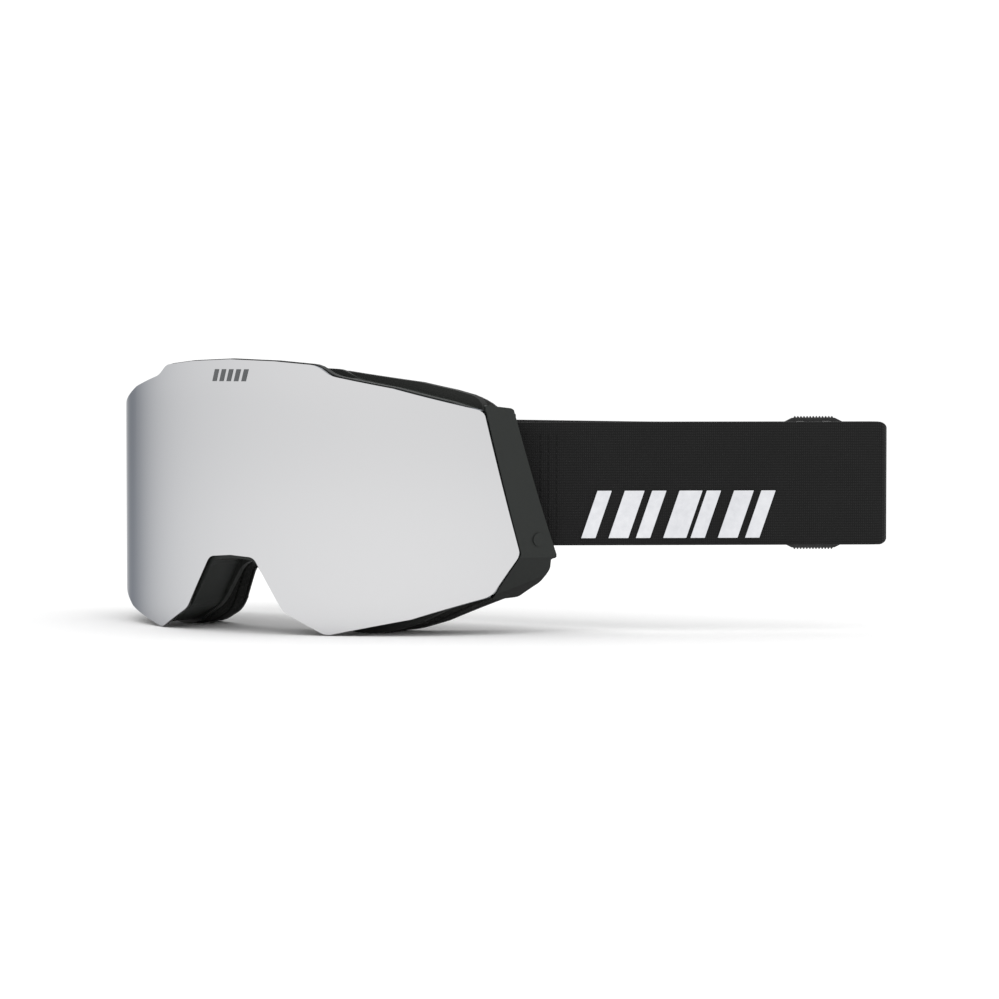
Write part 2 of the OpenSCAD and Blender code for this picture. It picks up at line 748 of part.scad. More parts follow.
outer_lens();
lens_spacer();
inner_lens();
lens_keepers();
lens_pegs();
lens_tab_mark();
frame_chassis();
frame_magnets();
face_flange();
top_vent_foam();
lower_vent_foam_left();
lower_vent_foam_right();
face_foam_base();
face_foam_middle();
face_fleece();
outrigger_left();
outrigger_right();
outrigger_bosses();
outrigger_screws();
strap_bar_left();
strap_bar_right();
strap_outer_run();
strap_fold();
strap_return_run();
strap_back_run();
strap_stitching();
strap_grip_beads();
strap_badge();
slider_frame();
slider_wrap();
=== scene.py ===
"""Ski goggles: the looks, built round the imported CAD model.

+Z is up, the goggles face -Y and +X is the wearer's left. Sizes in the dataclasses
are millimetres, as in the part's source, and become metres when a mesh is made.
"""

import logging
import math
from dataclasses import dataclass, field, replace
from enum import Enum
from typing import Iterable, Sequence

import bmesh
import bpy
from bmesh.types import BMEdge, BMesh, BMFace, BMVert
from mathutils import Matrix, Vector


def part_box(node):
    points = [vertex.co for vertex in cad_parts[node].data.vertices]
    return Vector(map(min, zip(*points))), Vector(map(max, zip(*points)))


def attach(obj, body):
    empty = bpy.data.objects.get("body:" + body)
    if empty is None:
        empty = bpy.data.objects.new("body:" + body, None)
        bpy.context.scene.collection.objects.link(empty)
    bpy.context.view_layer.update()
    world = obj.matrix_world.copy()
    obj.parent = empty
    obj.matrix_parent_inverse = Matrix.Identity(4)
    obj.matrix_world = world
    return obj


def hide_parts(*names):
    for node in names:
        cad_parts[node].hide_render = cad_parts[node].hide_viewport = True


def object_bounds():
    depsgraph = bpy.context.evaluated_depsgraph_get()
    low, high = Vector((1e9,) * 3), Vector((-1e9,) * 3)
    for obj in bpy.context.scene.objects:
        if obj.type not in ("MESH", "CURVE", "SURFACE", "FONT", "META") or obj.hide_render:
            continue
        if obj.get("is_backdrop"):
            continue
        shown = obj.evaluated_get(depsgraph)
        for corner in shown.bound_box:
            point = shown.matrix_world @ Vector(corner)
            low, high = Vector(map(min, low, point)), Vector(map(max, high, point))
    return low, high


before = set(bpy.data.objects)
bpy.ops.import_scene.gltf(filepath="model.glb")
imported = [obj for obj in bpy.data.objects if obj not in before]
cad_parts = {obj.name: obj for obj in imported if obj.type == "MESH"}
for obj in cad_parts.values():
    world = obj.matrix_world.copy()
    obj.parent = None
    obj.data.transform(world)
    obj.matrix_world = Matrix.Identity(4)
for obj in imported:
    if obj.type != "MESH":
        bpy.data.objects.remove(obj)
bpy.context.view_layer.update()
MM = 0.001
# a wave texture repeats every 2 pi / 20 of its scaled coordinate
WAVE_PERIOD = math.tau / 20
log = logging.getLogger("goggles")

Point = tuple[float, float]


# ---- nodes and finishes ----


def linear(code: str, alpha: float = 1.0) -> tuple[float, float, float, float]:
    """Turns an sRGB hex colour into linear light.

    Args:
        code: the colour as "#rrggbb".
        alpha: the fourth value.

    Returns:
        Red, green, blue and alpha, each from 0 to 1.
    """
    values = [int(code[i : i + 2], 16) / 255 for i in (1, 3, 5)]
    r, g, b = (v / 12.92 if v <= 0.04045 else ((v + 0.055) / 1.055) ** 2.4 for v in values)
    return r, g, b, alpha


def add_node(
    tree: bpy.types.NodeTree, kind: str, settings: dict | None = None, links: dict | None = None
) -> bpy.types.Node:
    """Adds one node to a tree.

    Args:
        tree: the node tree.
        kind: the node's type name.
        settings: values of its properties, or of its inputs by name or number.
        links: its inputs, by name or number, and the sockets that feed them.

    Returns:
        The new node.
    """
    node = tree.nodes.new(kind)
    for name, value in (settings or {}).items():
        if isinstance(name, int) or name in node.inputs:
            node.inputs[name].default_value = value
        else:
            setattr(node, name, value)
    for name, source in (links or {}).items():
        tree.links.new(source, node.inputs[name])
    return node


class Pattern(Enum):
    """What the surface of a finish is made of."""

    GRAIN = "fine moulded grain"
    CELLS = "open foam cells"
    PILE = "short brushed pile"
    WEAVE = "ribbed elastic webbing"
    BRUSHED = "drawn metal"
    TWIST = "twisted thread"


def vary_gloss(
    tree: bpy.types.NodeTree,
    shader: bpy.types.Node,
    pattern: bpy.types.NodeSocket,
    low: float,
    high: float,
) -> None:
    """Lets the roughness follow a pattern.

    Args:
        tree: the material's node tree.
        shader: its Principled shader.
        pattern: the socket with the pattern, from 0 to 1.
        low: the roughness where the pattern is 0.
        high: the roughness where it is 1.
    """
    limits = {"To Min": low, "To Max": high}
    gloss = add_node(tree, "ShaderNodeMapRange", limits, {"Value": pattern})
    tree.links.new(gloss.outputs["Result"], shader.inputs["Roughness"])


@dataclass(frozen=True)
class Finish:
    """A surface finish: a colour, a gloss and a pattern of a real size.

    size is the pattern's repeat and relief its height, in millimetres.
    """

    name: str
    colour: str
    # shade: the dark end of the colour, painted shade in the pattern's hollows and random darker
    # patches
    shade: str
    roughness: float
    pattern: Pattern
    size: float
    relief: float
    metallic: float = 0.0
    ior: float = 1.5
    specular: float = 0.5
    sheen: float = 0.0

    def material(self) -> bpy.types.Material:
        """Returns the finish as a material, made once."""
        made = bpy.data.materials.get(self.name)
        if made:
            return made
        made = bpy.data.materials.new(self.name)
        made.use_nodes = True
        tree = made.node_tree
        tree.nodes.clear()
        shader = add_node(
            tree,
            "ShaderNodeBsdfPrincipled",
            {
                "Base Color": linear(self.colour),
                "Metallic": self.metallic,
                "IOR": self.ior,
                "Roughness": self.roughness,
                "Specular IOR Level": self.specular,
                "Sheen Weight": self.sheen,
                "Sheen Roughness": 0.5,
            },
        )
        self.dress(tree, shader)
        add_node(tree, "ShaderNodeOutputMaterial", links={"Surface": shader.outputs["BSDF"]})
        return made

    def dress(self, tree: bpy.types.NodeTree, shader: bpy.types.Node) -> None:
        """Adds the pattern to the colour, the gloss and the relief. The colour turns to the shade
        colour in the pattern's hollows, which is painted shade, and in random mottled patches.

        Args:
            tree: the material's node tree.
            shader: its Principled shader.
        """
        coords = add_node(tree, "ShaderNodeTexCoord")
        height = self.relief_map(tree, coords)
        mottle = add_node(
            tree,
            "ShaderNodeTexNoise",
            {"Scale": 1 / (18 * MM), "Detail": 3.0},
            {"Vector": coords.outputs["Object"]},
        )
        mixed = add_node(
            tree,
            "ShaderNodeMath",
            {"operation": "MULTIPLY_ADD", 1: 0.45, 2: 0.0},
            {0: mottle.outputs["Fac"]},
        )
        # painted shade in the hollows: the low parts of the relief pull the colour to the shade
        # colour, mixed with random mottle
        total = add_node(
            tree,
            "ShaderNodeMath",
            {"operation": "MULTIPLY_ADD", 1: 0.55},
            {0: height, 2: mixed.outputs[0]},
        )
        mottle_and_hollow_shade = add_node(tree, "ShaderNodeValToRGB", links={"Fac": total.outputs[0]})
        mottle_and_hollow_shade.color_ramp.elements[0].position = 0.25
        mottle_and_hollow_shade.color_ramp.elements[0].color = linear(self.shade)
        mottle_and_hollow_shade.color_ramp.elements[1].position = 0.75
        mottle_and_hollow_shade.color_ramp.elements[1].color = linear(self.colour)
        tree.links.new(mottle_and_hollow_shade.outputs["Color"], shader.inputs["Base Color"])
        low, high = max(0.02, self.roughness - 0.07), min(1.0, self.roughness + 0.07)
        vary_gloss(tree, shader, mottle.outputs["Fac"], low, high)
        bump = add_node(
            tree,
            "ShaderNodeBump",
            {"Strength": 1.0, "Distance": self.relief * MM},
            {"Height": height},
        )
        tree.links.new(bump.outputs["Normal"], shader.inputs["Normal"])

    def relief_map(
        self, tree: bpy.types.NodeTree, coords: bpy.types.Node
    ) -> bpy.types.NodeSocket:
        """Makes the height pattern, from 0 to 1.

        Args:
            tree: the material's node tree.
            coords: its Texture Coordinate node.

        Returns:
            The socket with the height.
        """
        where = coords.outputs["Object"]
        if self.pattern is Pattern.CELLS:
            return add_node(
                tree, "ShaderNodeTexVoronoi", {"Scale": 1 / (self.size * MM)}, {"Vector": where}
            ).outputs["Distance"]
        if self.pattern in (Pattern.WEAVE, Pattern.TWIST):
            along = WAVE_PERIOD / (self.size * MM)
            slant = "X" if self.pattern is Pattern.WEAVE else "DIAGONAL"
            ribs, picks = (
                add_node(
                    tree,
                    "ShaderNodeTexWave",
                    {"bands_direction": way, "Scale": scale, "Distortion": 0.6, "Detail": 1.0},
                    {"Vector": coords.outputs["UV" if self.pattern is Pattern.WEAVE else "Object"]},
                )
                for way, scale in ((slant, along), ("Y", along * 0.8))
            )
            return add_node(
                tree,
                "ShaderNodeMath",
                {"operation": "MULTIPLY"},
                {0: ribs.outputs["Fac"], 1: picks.outputs["Fac"]},
            ).outputs[0]
        if self.pattern in (Pattern.BRUSHED, Pattern.PILE):
            stretch = (0.06, 1.0, 1.0) if self.pattern is Pattern.BRUSHED else (1.0, 0.45, 1.0)
            where = add_node(
                tree, "ShaderNodeMapping", {"Scale": stretch}, {"Vector": where}
            ).outputs["Vector"]
        return add_node(
            tree,
            "ShaderNodeTexNoise",
            {"Scale": 1 / (self.size * MM), "Detail": 4.0, "Roughness": 0.6},
            {"Vector": where},
        ).outputs["Fac"]


@dataclass(frozen=True)
class MirrorFinish(Finish):
    """A vacuum-coated silver mirror: a metal film, with painted shade that darkens and cools its
    colour at a slant.
    """

    # painted shade: the darker, cooler colour that the lens takes where it turns from view
    slant: str = "#9a9da2"

    def dress(self, tree: bpy.types.NodeTree, shader: bpy.types.Node) -> None:
        """Adds the film's faint haze, and painted shade that turns the colour darker and cooler at
        a slant.

        Args:
            tree: the material's node tree.
            shader: its Principled shader.
        """
        coords = add_node(tree, "ShaderNodeTexCoord")
        stretched = add_node(
            tree,
            "ShaderNodeMapping",
            {"Scale": (1.0, 1.0, 0.25)},
            {"Vector": coords.outputs["Object"]},
        )
        haze = add_node(
            tree,
            "ShaderNodeTexNoise",
            {"Scale": 1 / (self.size * MM), "Detail": 2.0},
            {"Vector": stretched.outputs["Vector"]},
        )
        # painted shade: the colour runs to the darker slant colour as the surface turns from view
        slant_shade_mask = add_node(tree, "ShaderNodeLayerWeight", {"Blend": 0.35})
        film = add_node(
            tree,
            "ShaderNodeMix",
            {"data_type": "RGBA", 6: linear(self.colour), 7: linear(self.slant)},
            {0: slant_shade_mask.outputs["Facing"]},
        )
        tree.links.new(film.outputs[2], shader.inputs["Base Color"])
        # painted shade also in the tint of the mirror's edge reflection
        shader.inputs["Specular Tint"].default_value = linear(self.slant)
        low, high = self.roughness * 0.7, self.roughness * 1.4
        vary_gloss(tree, shader, haze.outputs["Fac"], low, high)


@dataclass(frozen=True)
class ClearFinish(Finish):
    """Clear moulded polycarbonate, which bends light and shows faint flow lines."""

    def dress(self, tree: bpy.types.NodeTree, shader: bpy.types.Node) -> None:
        """Makes the shader clear and gives it faint flow lines.

        Args:
            tree: the material's node tree.
            shader: its Principled shader.
        """
        shader.inputs["Transmission Weight"].default_value = 1.0
        coords = add_node(tree, "ShaderNodeTexCoord")
        flow = add_node(
            tree,
            "ShaderNodeTexNoise",
            {"Scale": 1 / (self.size * MM), "Detail": 1.0},
            {"Vector": coords.outputs["Object"]},
        )
        vary_gloss(tree, shader, flow.outputs["Fac"], self.roughness, self.roughness * 2)


# silver film on polycarbonate: nearly even and bright, with the sharp gleam of a mirror and painted
# shade where it turns from view
MIRROR = MirrorFinish(
    "silver_mirror_film", "#d0d0d1", "#d0d0d2", 0.06, Pattern.GRAIN, 30, 0, metallic=1.0
)
# smoke-tinted polycarbonate behind the film: dark and glossy from inside
SMOKE = Finish(
    "smoke_polycarbonate", "#1d1c1b", "#171615", 0.12, Pattern.GRAIN, 12, 0.01, ior=1.585
)
CLEAR = ClearFinish(
    "clear_polycarbonate", "#f2f5f4", "#f2f5f4", 0.02, Pattern.GRAIN, 40, 0, ior=1.585
)
# moulded nylon with a spark-eroded grain: an even matt grey, a little green
NYLON = Finish("grained_nylon", "#252826", "#1e211f", 0.55, Pattern.GRAIN, 0.35, 0.03, specular=0.3)
# the folded foot of the outriggers: the same nylon, darker as painted shade, because these faces
# turn down from the light
SHADED_FOOT_NYLON = replace(NYLON, name="nylon_painted_shade_foot", colour="#1b1e1c", shade="#161817")
# the lower rim of the outriggers: darker still, painted shade on faces that turn down and inward
SHADED_RIM_NYLON = replace(NYLON, name="nylon_painted_shade_rim", colour="#121312", shade="#0d0e0d")
# soft TPU flange: a shade darker and duller than the nylon
TPU = Finish("soft_tpu", "#222422", "#1b1d1b", 0.6, Pattern.GRAIN, 0.5, 0.03, specular=0.3)
PEG = Finish("peg_acetal", "#1c1c1c", "#161616", 0.4, Pattern.GRAIN, 0.4, 0.01)
# open-cell polyurethane foam: cut cells that swallow the light
FIRM_FOAM = Finish(
    "firm_open_cell_foam", "#232422", "#0f0f0e", 0.95, Pattern.CELLS, 0.9, 0.35, specular=0.15
)
SOFT_FOAM = Finish(
    "soft_open_cell_foam", "#242523", "#121211", 0.95, Pattern.CELLS, 0.7, 0.3, specular=0.15
)
# brushed polyester fleece: a soft glow at its edges
FLEECE = Finish(
    "brushed_fleece", "#1a1a19", "#0b0b0b", 1.0, Pattern.PILE, 0.5, 0.35, specular=0.1, sheen=0.35
)
# elastic webbing: fine ribs across the strap
WEBBING = Finish(
    "elastic_webbing",
    "#222222",
    "#101010",
    0.85,
    Pattern.WEAVE,
    0.75,
    0.12,
    specular=0.2,
    sheen=0.12,
)
THREAD = Finish(
    "polyester_thread", "#212121", "#141414", 0.7, Pattern.TWIST, 0.3, 0.05, specular=0.15
)
SILICONE = Finish("grip_silicone", "#2c2d2d", "#232424", 0.3, Pattern.GRAIN, 0.8, 0.02, ior=1.43)
# chrome film on a raised transfer: bright, with soft ripples
CHROME = Finish("chrome_film", "#e6e7ea", "#cfd0d4", 0.12, Pattern.GRAIN, 2.5, 0.02, metallic=1.0)
ACETAL = Finish("slider_acetal", "#1b1b1b", "#131313", 0.42, Pattern.GRAIN, 0.4, 0.02)
STEEL = Finish("drawn_steel", "#a8a9ab", "#8f9092", 0.28, Pattern.BRUSHED, 0.3, 0.01, metallic=1.0)
NICKEL = Finish(
    "nickel_plate", "#b9b6ad", "#a7a49b", 0.22, Pattern.BRUSHED, 0.3, 0.008, metallic=1.0
)
INK = Finish("pad_print_ink", "#56585a", "#4c4e50", 0.55, Pattern.GRAIN, 0.3, 0.01)
FLOOR = Finish("studio_floor", "#fcfcfc", "#fafafa", 0.9, Pattern.GRAIN, 60, 0, specular=0.0)


# ---- shapes ----


@dataclass(frozen=True)
class Arc:
    """An upright cylinder seen from above, concentric with the lens or with the face."""

    centre_y: float
    radius: float

    def y_at(self, x: float) -> float:
        """Returns how far back the front of the cylinder is at x."""
        return self.centre_y - math.sqrt(max(self.radius**2 - x * x, 0.0))


@dataclass(frozen=True)
class Outline:
    """A closed outline seen from the front, as points (x, z), and how far its corners round."""

    points: tuple[Point, ...]
    corner: float = 0.0

    @classmethod
    def mirrored(cls, half: Sequence[Point], corner: float) -> "Outline":
        """Makes a whole outline from its right half, which runs from the top to the bottom."""
        other = [(-x, z) for x, z in reversed(half[1:-1])]
        return cls(tuple(half) + tuple(other), corner)

    def inset(self, distance: float, corner: float) -> "Outline":
        """Moves the outline inwards, with mitred corners.

        Args:
            distance: how far each edge moves, in millimetres.
            corner: how far the corners of the new outline round.

        Returns:
            The new outline.
        """
        count = len(self.points)
        points = [Vector(p) for p in self.points]
        moved = []
        for i, p in enumerate(points):
            before = (p - points[i - 1]).normalized()
            after = (points[(i + 1) % count] - p).normalized()
            a, b = Vector((before.y, -before.x)), Vector((after.y, -after.x))
            moved.append(tuple(p + distance * (a + b) / (1 + a.dot(b))))
        return Outline(tuple(moved), corner)

    def add_to(self, bm: BMesh) -> list[BMEdge]:
        """Adds the outline as a closed loop of edges with rounded corners.

        Args:
            bm: the mesh that gets the loop.

        Returns:
            The edges of the loop.
        """
        old = set(bm.edges)
        corners = [bm.verts.new((x * MM, 0.0, z * MM)) for x, z in self.points]
        bm.faces.new(corners)
        spots = [v.co.copy() for v in corners]
        for i, vert in enumerate(corners):
            to_last, to_next = spots[i - 1] - spots[i], spots[(i + 1) % len(spots)] - spots[i]
            cut = min(self.corner * MM, to_last.length * 0.4, to_next.length * 0.4)
            if cut <= 0 or to_last.angle(to_next) > math.radians(166):
                continue
            bmesh.ops.bevel(
                bm,
                geom=[vert],
                offset=cut,
                affect="VERTICES",
                segments=4,
                profile=0.5,
                material=-1,
            )
        edges = [e for e in bm.edges if e not in old]
        faces = list({f for e in edges for f in e.link_faces})
        bmesh.ops.delete(bm, geom=faces, context="FACES_ONLY")
        return edges


def raise_faces(bm: BMesh, faces: Sequence[BMFace], step: Sequence[float]) -> None:
    """Extrudes faces into a solid.

    Args:
        bm: the mesh.
        faces: the faces that are raised.
        step: how far they move, in millimetres.
    """
    made = bmesh.ops.extrude_face_region(bm, geom=faces)
    raised = [g for g in made["geom"] if isinstance(g, BMVert)]
    bmesh.ops.translate(bm, vec=[s * MM for s in step], verts=raised)


def trim(
    bm: BMesh, spot: Sequence[float], normal: Sequence[float], close: bool = True
) -> None:
    """Cuts off what is behind a plane.

    Args:
        bm: the mesh.
        spot: a point on the plane, in metres.
        normal: which way the kept side is.
        close: whether the cut is closed with a face.
    """
    everything = bm.verts[:] + bm.edges[:] + bm.faces[:]
    cut = bmesh.ops.bisect_plane(
        bm, geom=everything, dist=1e-7, plane_co=spot, plane_no=normal, clear_inner=True
    )
    if close:
        rim = [g for g in cut["geom_cut"] if isinstance(g, BMEdge)]
        bmesh.ops.holes_fill(bm, edges=rim)


def sharp_edges(bm: BMesh, least: float = 50.0) -> list[BMEdge]:
    """Returns the edges whose two faces turn by at least that many degrees."""
    return [e for e in bm.edges if e.calc_face_angle(0.0) > math.radians(least)]


def soften(
    bm: BMesh, width: float, segments: int = 2, clamp: bool = True, least: float = 50.0
) -> None:
    """Rounds every sharp edge of a mesh.

    Args:
        bm: the mesh.
        width: how wide the rounding is, in millimetres.
        segments: how many faces make it.
        clamp: whether it stops where it would meet the next one.
        least: the smallest turn, in degrees, that counts as sharp.
    """
    bmesh.ops.bevel(
        bm,
        geom=sharp_edges(bm, least),
        offset=width * MM,
        affect="EDGES",
        segments=segments,
        profile=0.5,
        material=-1,
        clamp_overlap=clamp,
    )


@dataclass(frozen=True)
class Slab:
    """A curved sheet or ring between two upright cylinders, cut to an outline from the front."""

    outline: Outline
    front: Arc
    back: Arc
    hole: Outline | None = None
    edge: float = 0.3
    segments: int = 2
    clamp: bool = True
    step: float = 2.5
    square: bool = False

    def mesh(self) -> BMesh:
        """Builds the slab.

        Returns:
            The mesh, closed, with its edges rounded.
        """
        bm = bmesh.new()
        edges = self.outline.add_to(bm)
        if self.hole:
            edges += self.hole.add_to(bm)
        bmesh.ops.triangle_fill(bm, use_beauty=True, use_dissolve=False, edges=edges)
        low, high = min(v.co.x for v in bm.verts), max(v.co.x for v in bm.verts)
        cuts = max(1, round((high - low) / (self.step * MM)))
        for i in range(1, cuts):
            x = low + (high - low) * i / cuts
            everything = bm.verts[:] + bm.edges[:] + bm.faces[:]
            bmesh.ops.bisect_plane(
                bm, geom=everything, dist=1e-7, plane_co=(x, 0, 0), plane_no=(1, 0, 0)
            )
        made = bmesh.ops.extrude_face_region(bm, geom=bm.faces[:])
        rear = {g for g in made["geom"] if isinstance(g, BMVert)}
        for v in bm.verts:
            if self.square and v in rear:
                v.co.x *= self.back.radius / self.front.radius
            v.co.y = (self.back if v in rear else self.front).y_at(v.co.x / MM) * MM
        bmesh.ops.recalc_face_normals(bm, faces=bm.faces[:])
        if self.edge:
            soften(bm, self.edge, self.segments, self.clamp)
        return bm


def make_piece(
    bm: BMesh,
    name: str,
    finish: Finish,
    body: str,
    stands_for: Iterable[str] = (),
    sharp: float = 40.0,
    weighted: bool = True,
) -> bpy.types.Object:
    """Turns a mesh into a finished piece that rides on a body.

    Args:
        bm: the mesh, in metres, in its place. It is freed.
        name: the piece's name.
        finish: its finish.
        body: the CAD body that it rides on.
        stands_for: the CAD nodes that it replaces.
        sharp: edges that turn by more degrees than this stay sharp.
        weighted: whether broad faces keep the shading of their own plane.

    Returns:
        The piece's object.
    """
    mesh = bpy.data.meshes.new(name)
    bm.to_mesh(mesh)
    bm.free()
    mesh.shade_smooth()
    mesh.set_sharp_from_angle(angle=math.radians(sharp))
    mesh.materials.append(finish.material())
    piece = bpy.data.objects.new(name, mesh)
    bpy.context.scene.collection.objects.link(piece)
    if weighted:
        piece.modifiers.new("even_shading", "WEIGHTED_NORMAL").keep_sharp = True
    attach(piece, body)
    if stands_for:
        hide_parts(*stands_for)
    log.info("%s: %d faces on %s", name, len(mesh.polygons), body)
    return piece


def dress_node(name: str, finish: Finish) -> None:
    """Gives a CAD node that stays a finish.

    Args:
        name: the node.
        finish: its finish.
    """
    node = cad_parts[name]
    node.data.materials.clear()
    node.data.materials.append(finish.material())
    log.info("%s: CAD shape, %s", name, finish.name)


# ---- the goggles' own lines ----


@dataclass(frozen=True)
class Lines:
    """The sizes that the pieces share, in millimetres."""

    lens_half_w: float = 92.0
    lens_h: float = 99.5
    lens_wrap: float = 59.4
    tab_half_w: float = 34.8
    tab_rise: float = 3.9
    temple_drop: float = 18.6
    temple_lean: float = 7.9
    jaw_z: float = 14.0
    jaw_cut: float = 6.2
    lens_corner: float = 1.8
    tip_x: float = 38.2
    notch_half_w: float = 10.2
    notch_h: float = 27.6
    flare_half_w: float = 22.4
    flare_z: float = 8.1
    side_inset: float = 14.1
    face_radius: float = 98.0
    face_y: float = 134.0
    foot_z: float = 28.7
    head_z: float = 79.7
    strap_z: float = 54.2

    @property
    def lens_radius(self) -> float:
        """Returns the radius of the lens, which is also how far back its axis is."""
        return self.lens_half_w / math.sin(math.radians(self.lens_wrap))

    @property
    def frame_x(self) -> float:
        """Returns the half width of the frame's side walls."""
        return self.lens_half_w - self.side_inset

    @property
    def temple_top(self) -> Point:
        """Returns the top corner of the lens's temple edge."""
        return self.lens_half_w - self.temple_lean, self.lens_h - self.temple_drop

    def lens_arc(self, inside: float = 0.0) -> Arc:
        """Returns the lens's cylinder, that far inside its front face."""
        return Arc(self.lens_radius, self.lens_radius - inside)

    def face_arc(self, outside: float = 0.0) -> Arc:
        """Returns the face's cylinder, that far in front of the face."""
        return Arc(self.face_y, self.face_radius + outside)

    def edge_x(self, z: float) -> float:
        """Returns the x of the lens's temple edge at height z."""
        rise = self.temple_top[1] - self.foot_z
        return self.lens_half_w - self.temple_lean * (z - self.foot_z) / rise

    def round_x(self, x: float, run: float) -> float:
        """Returns the x of a point that is a run further round the lens than x."""
        radius = self.lens_radius
        return radius * math.sin(math.asin(x / radius) + run / radius)

    def lens_outline(self) -> Outline:
        """Returns the outer lens's outline: crest, tab, temple, jaw, tip and nose notch."""
        w, h = self.lens_half_w, self.lens_h
        half = [
            (0, h),
            (self.tab_half_w * 0.55, h - 0.7),
            (self.tab_half_w, h - 2.1),
            (self.tab_half_w + 5.3, h - 2.1 - self.tab_rise),
            (w * 0.65, h - self.temple_drop * 0.56),
            (w * 0.82, h - self.temple_drop * 0.84),
            self.temple_top,
            (w, self.foot_z),
            (w - self.jaw_cut, self.jaw_z),
            ((w + self.tip_x) / 2, self.jaw_z * 0.43),
            (self.tip_x, 0),
            (self.flare_half_w, self.flare_z),
            (self.notch_half_w, self.notch_h),
            (0, self.notch_h + 0.7),
        ]
        return Outline.mirrored(half, self.lens_corner)

    def frame_outline(self) -> Outline:
        """Returns the frame's outline, just inside the lens."""
        w, h, x = self.lens_half_w, self.lens_h, self.frame_x
        half = [
            (0, h - 1.9),
            (self.tab_half_w, h - 3.6),
            (self.tab_half_w + 5.3, h - 3 - self.tab_rise),
            (w * 0.65, h - self.temple_drop * 0.56 - 1),
            (x, self.temple_top[1] + 1),
            (x, self.foot_z),
            (x - 3, self.jaw_z - 1.5),
            ((x + self.tip_x) / 2, self.jaw_z * 0.43),
            (self.tip_x + 1, 1.2),
            (self.flare_half_w - 0.8, self.flare_z + 0.3),
            (self.notch_half_w - 0.8, self.notch_h - 1.2),
            (0, self.notch_h - 0.5),
        ]
        return Outline.mirrored(half, 3)

    def foam_outline(self, flare: float, opened: float) -> Outline:
        """Returns the face foam's outline.

        Args:
            flare: how far it flares beside the temples.
            opened: 0 for the flange and 1 for the foam, which is lower and wider at the nose.

        Returns:
            The outline.
        """
        h, x = self.lens_h, self.frame_x
        half = [
            (0, h - 2 - opened * 0.4),
            (self.tab_half_w, h - 4.2 - opened * 1.8),
            (x * 0.768, h - self.temple_drop * 0.56 + 2.2 - opened * 2.7),
            (x * 0.898, h - self.temple_drop * 0.77 + 3.3 - opened * 3.3),
            (x + flare * 0.2, self.temple_top[1] + 4.6 - opened * 3.6 - flare * 2),
            (x + flare, self.strap_z),
            (x + flare * 0.8, self.foot_z),
            (x - 1.5 + flare * 0.5, self.jaw_z),
            ((x + self.tip_x) / 2 + 1, self.jaw_z * 0.25),
            (self.tip_x + (x - self.tip_x) * 0.277, 0),
            (self.tip_x - 1, 0),
            (self.flare_half_w - 2 + opened * 3.6, self.flare_z + 0.6 - opened * 3),
            (self.notch_half_w - 1.4 + opened * 7.4, self.notch_h - 3 - opened * 1.4),
            (0, self.notch_h - 2),
        ]
        return Outline.mirrored(half, 4)


LINES = Lines()


@dataclass
class Lens:
    """The mirror lens with its sealed inner lens, which come off the frame together."""

    outer_t: float = 1.4
    inner_t: float = 1.0
    gap: float = 2.6
    bed_w: float = 8.0
    bond: float = 0.05

    def build(self) -> None:
        """Builds the lens and dresses what stays CAD."""
        outline = LINES.lens_outline()
        sheet = Slab(outline, LINES.lens_arc(), LINES.lens_arc(self.outer_t), edge=0.3, step=2)
        lens = make_piece(
            sheet.mesh(), "mirror_lens", MIRROR, "lens", ["outer_lens"], sharp=12
        )
        lens.data.materials.append(SMOKE.material())
        for face in lens.data.polygons:
            towards_axis = Vector((face.center.x, face.center.y - LINES.lens_radius * MM, 0))
            face.material_index = 1 if face.normal.dot(towards_axis) < 0 else 0
        opening = LINES.frame_outline().inset(self.bed_w, 6)
        front = self.outer_t + self.bond
        ring = Slab(
            opening.inset(0.6, 6),
            LINES.lens_arc(front),
            LINES.lens_arc(front + self.gap),
            opening.inset(3.6, 6),
            edge=0.3,
        )
        spacer = make_piece(
            ring.mesh(), "lens_seal", FIRM_FOAM, "lens", ["lens_spacer"]
        )
        behind = front + self.gap + self.bond
        pane = Slab(
            opening.inset(0.6, 6),
            LINES.lens_arc(behind),
            LINES.lens_arc(behind + self.inner_t),
            edge=0.2,
        )
        make_piece(pane.mesh(), "clear_lens", CLEAR, "lens", ["inner_lens"], sharp=12)
        dress_node("lens_keepers", STEEL)
        dress_node("lens_pegs", PEG)
        dress_node("lens_tab_mark", INK)


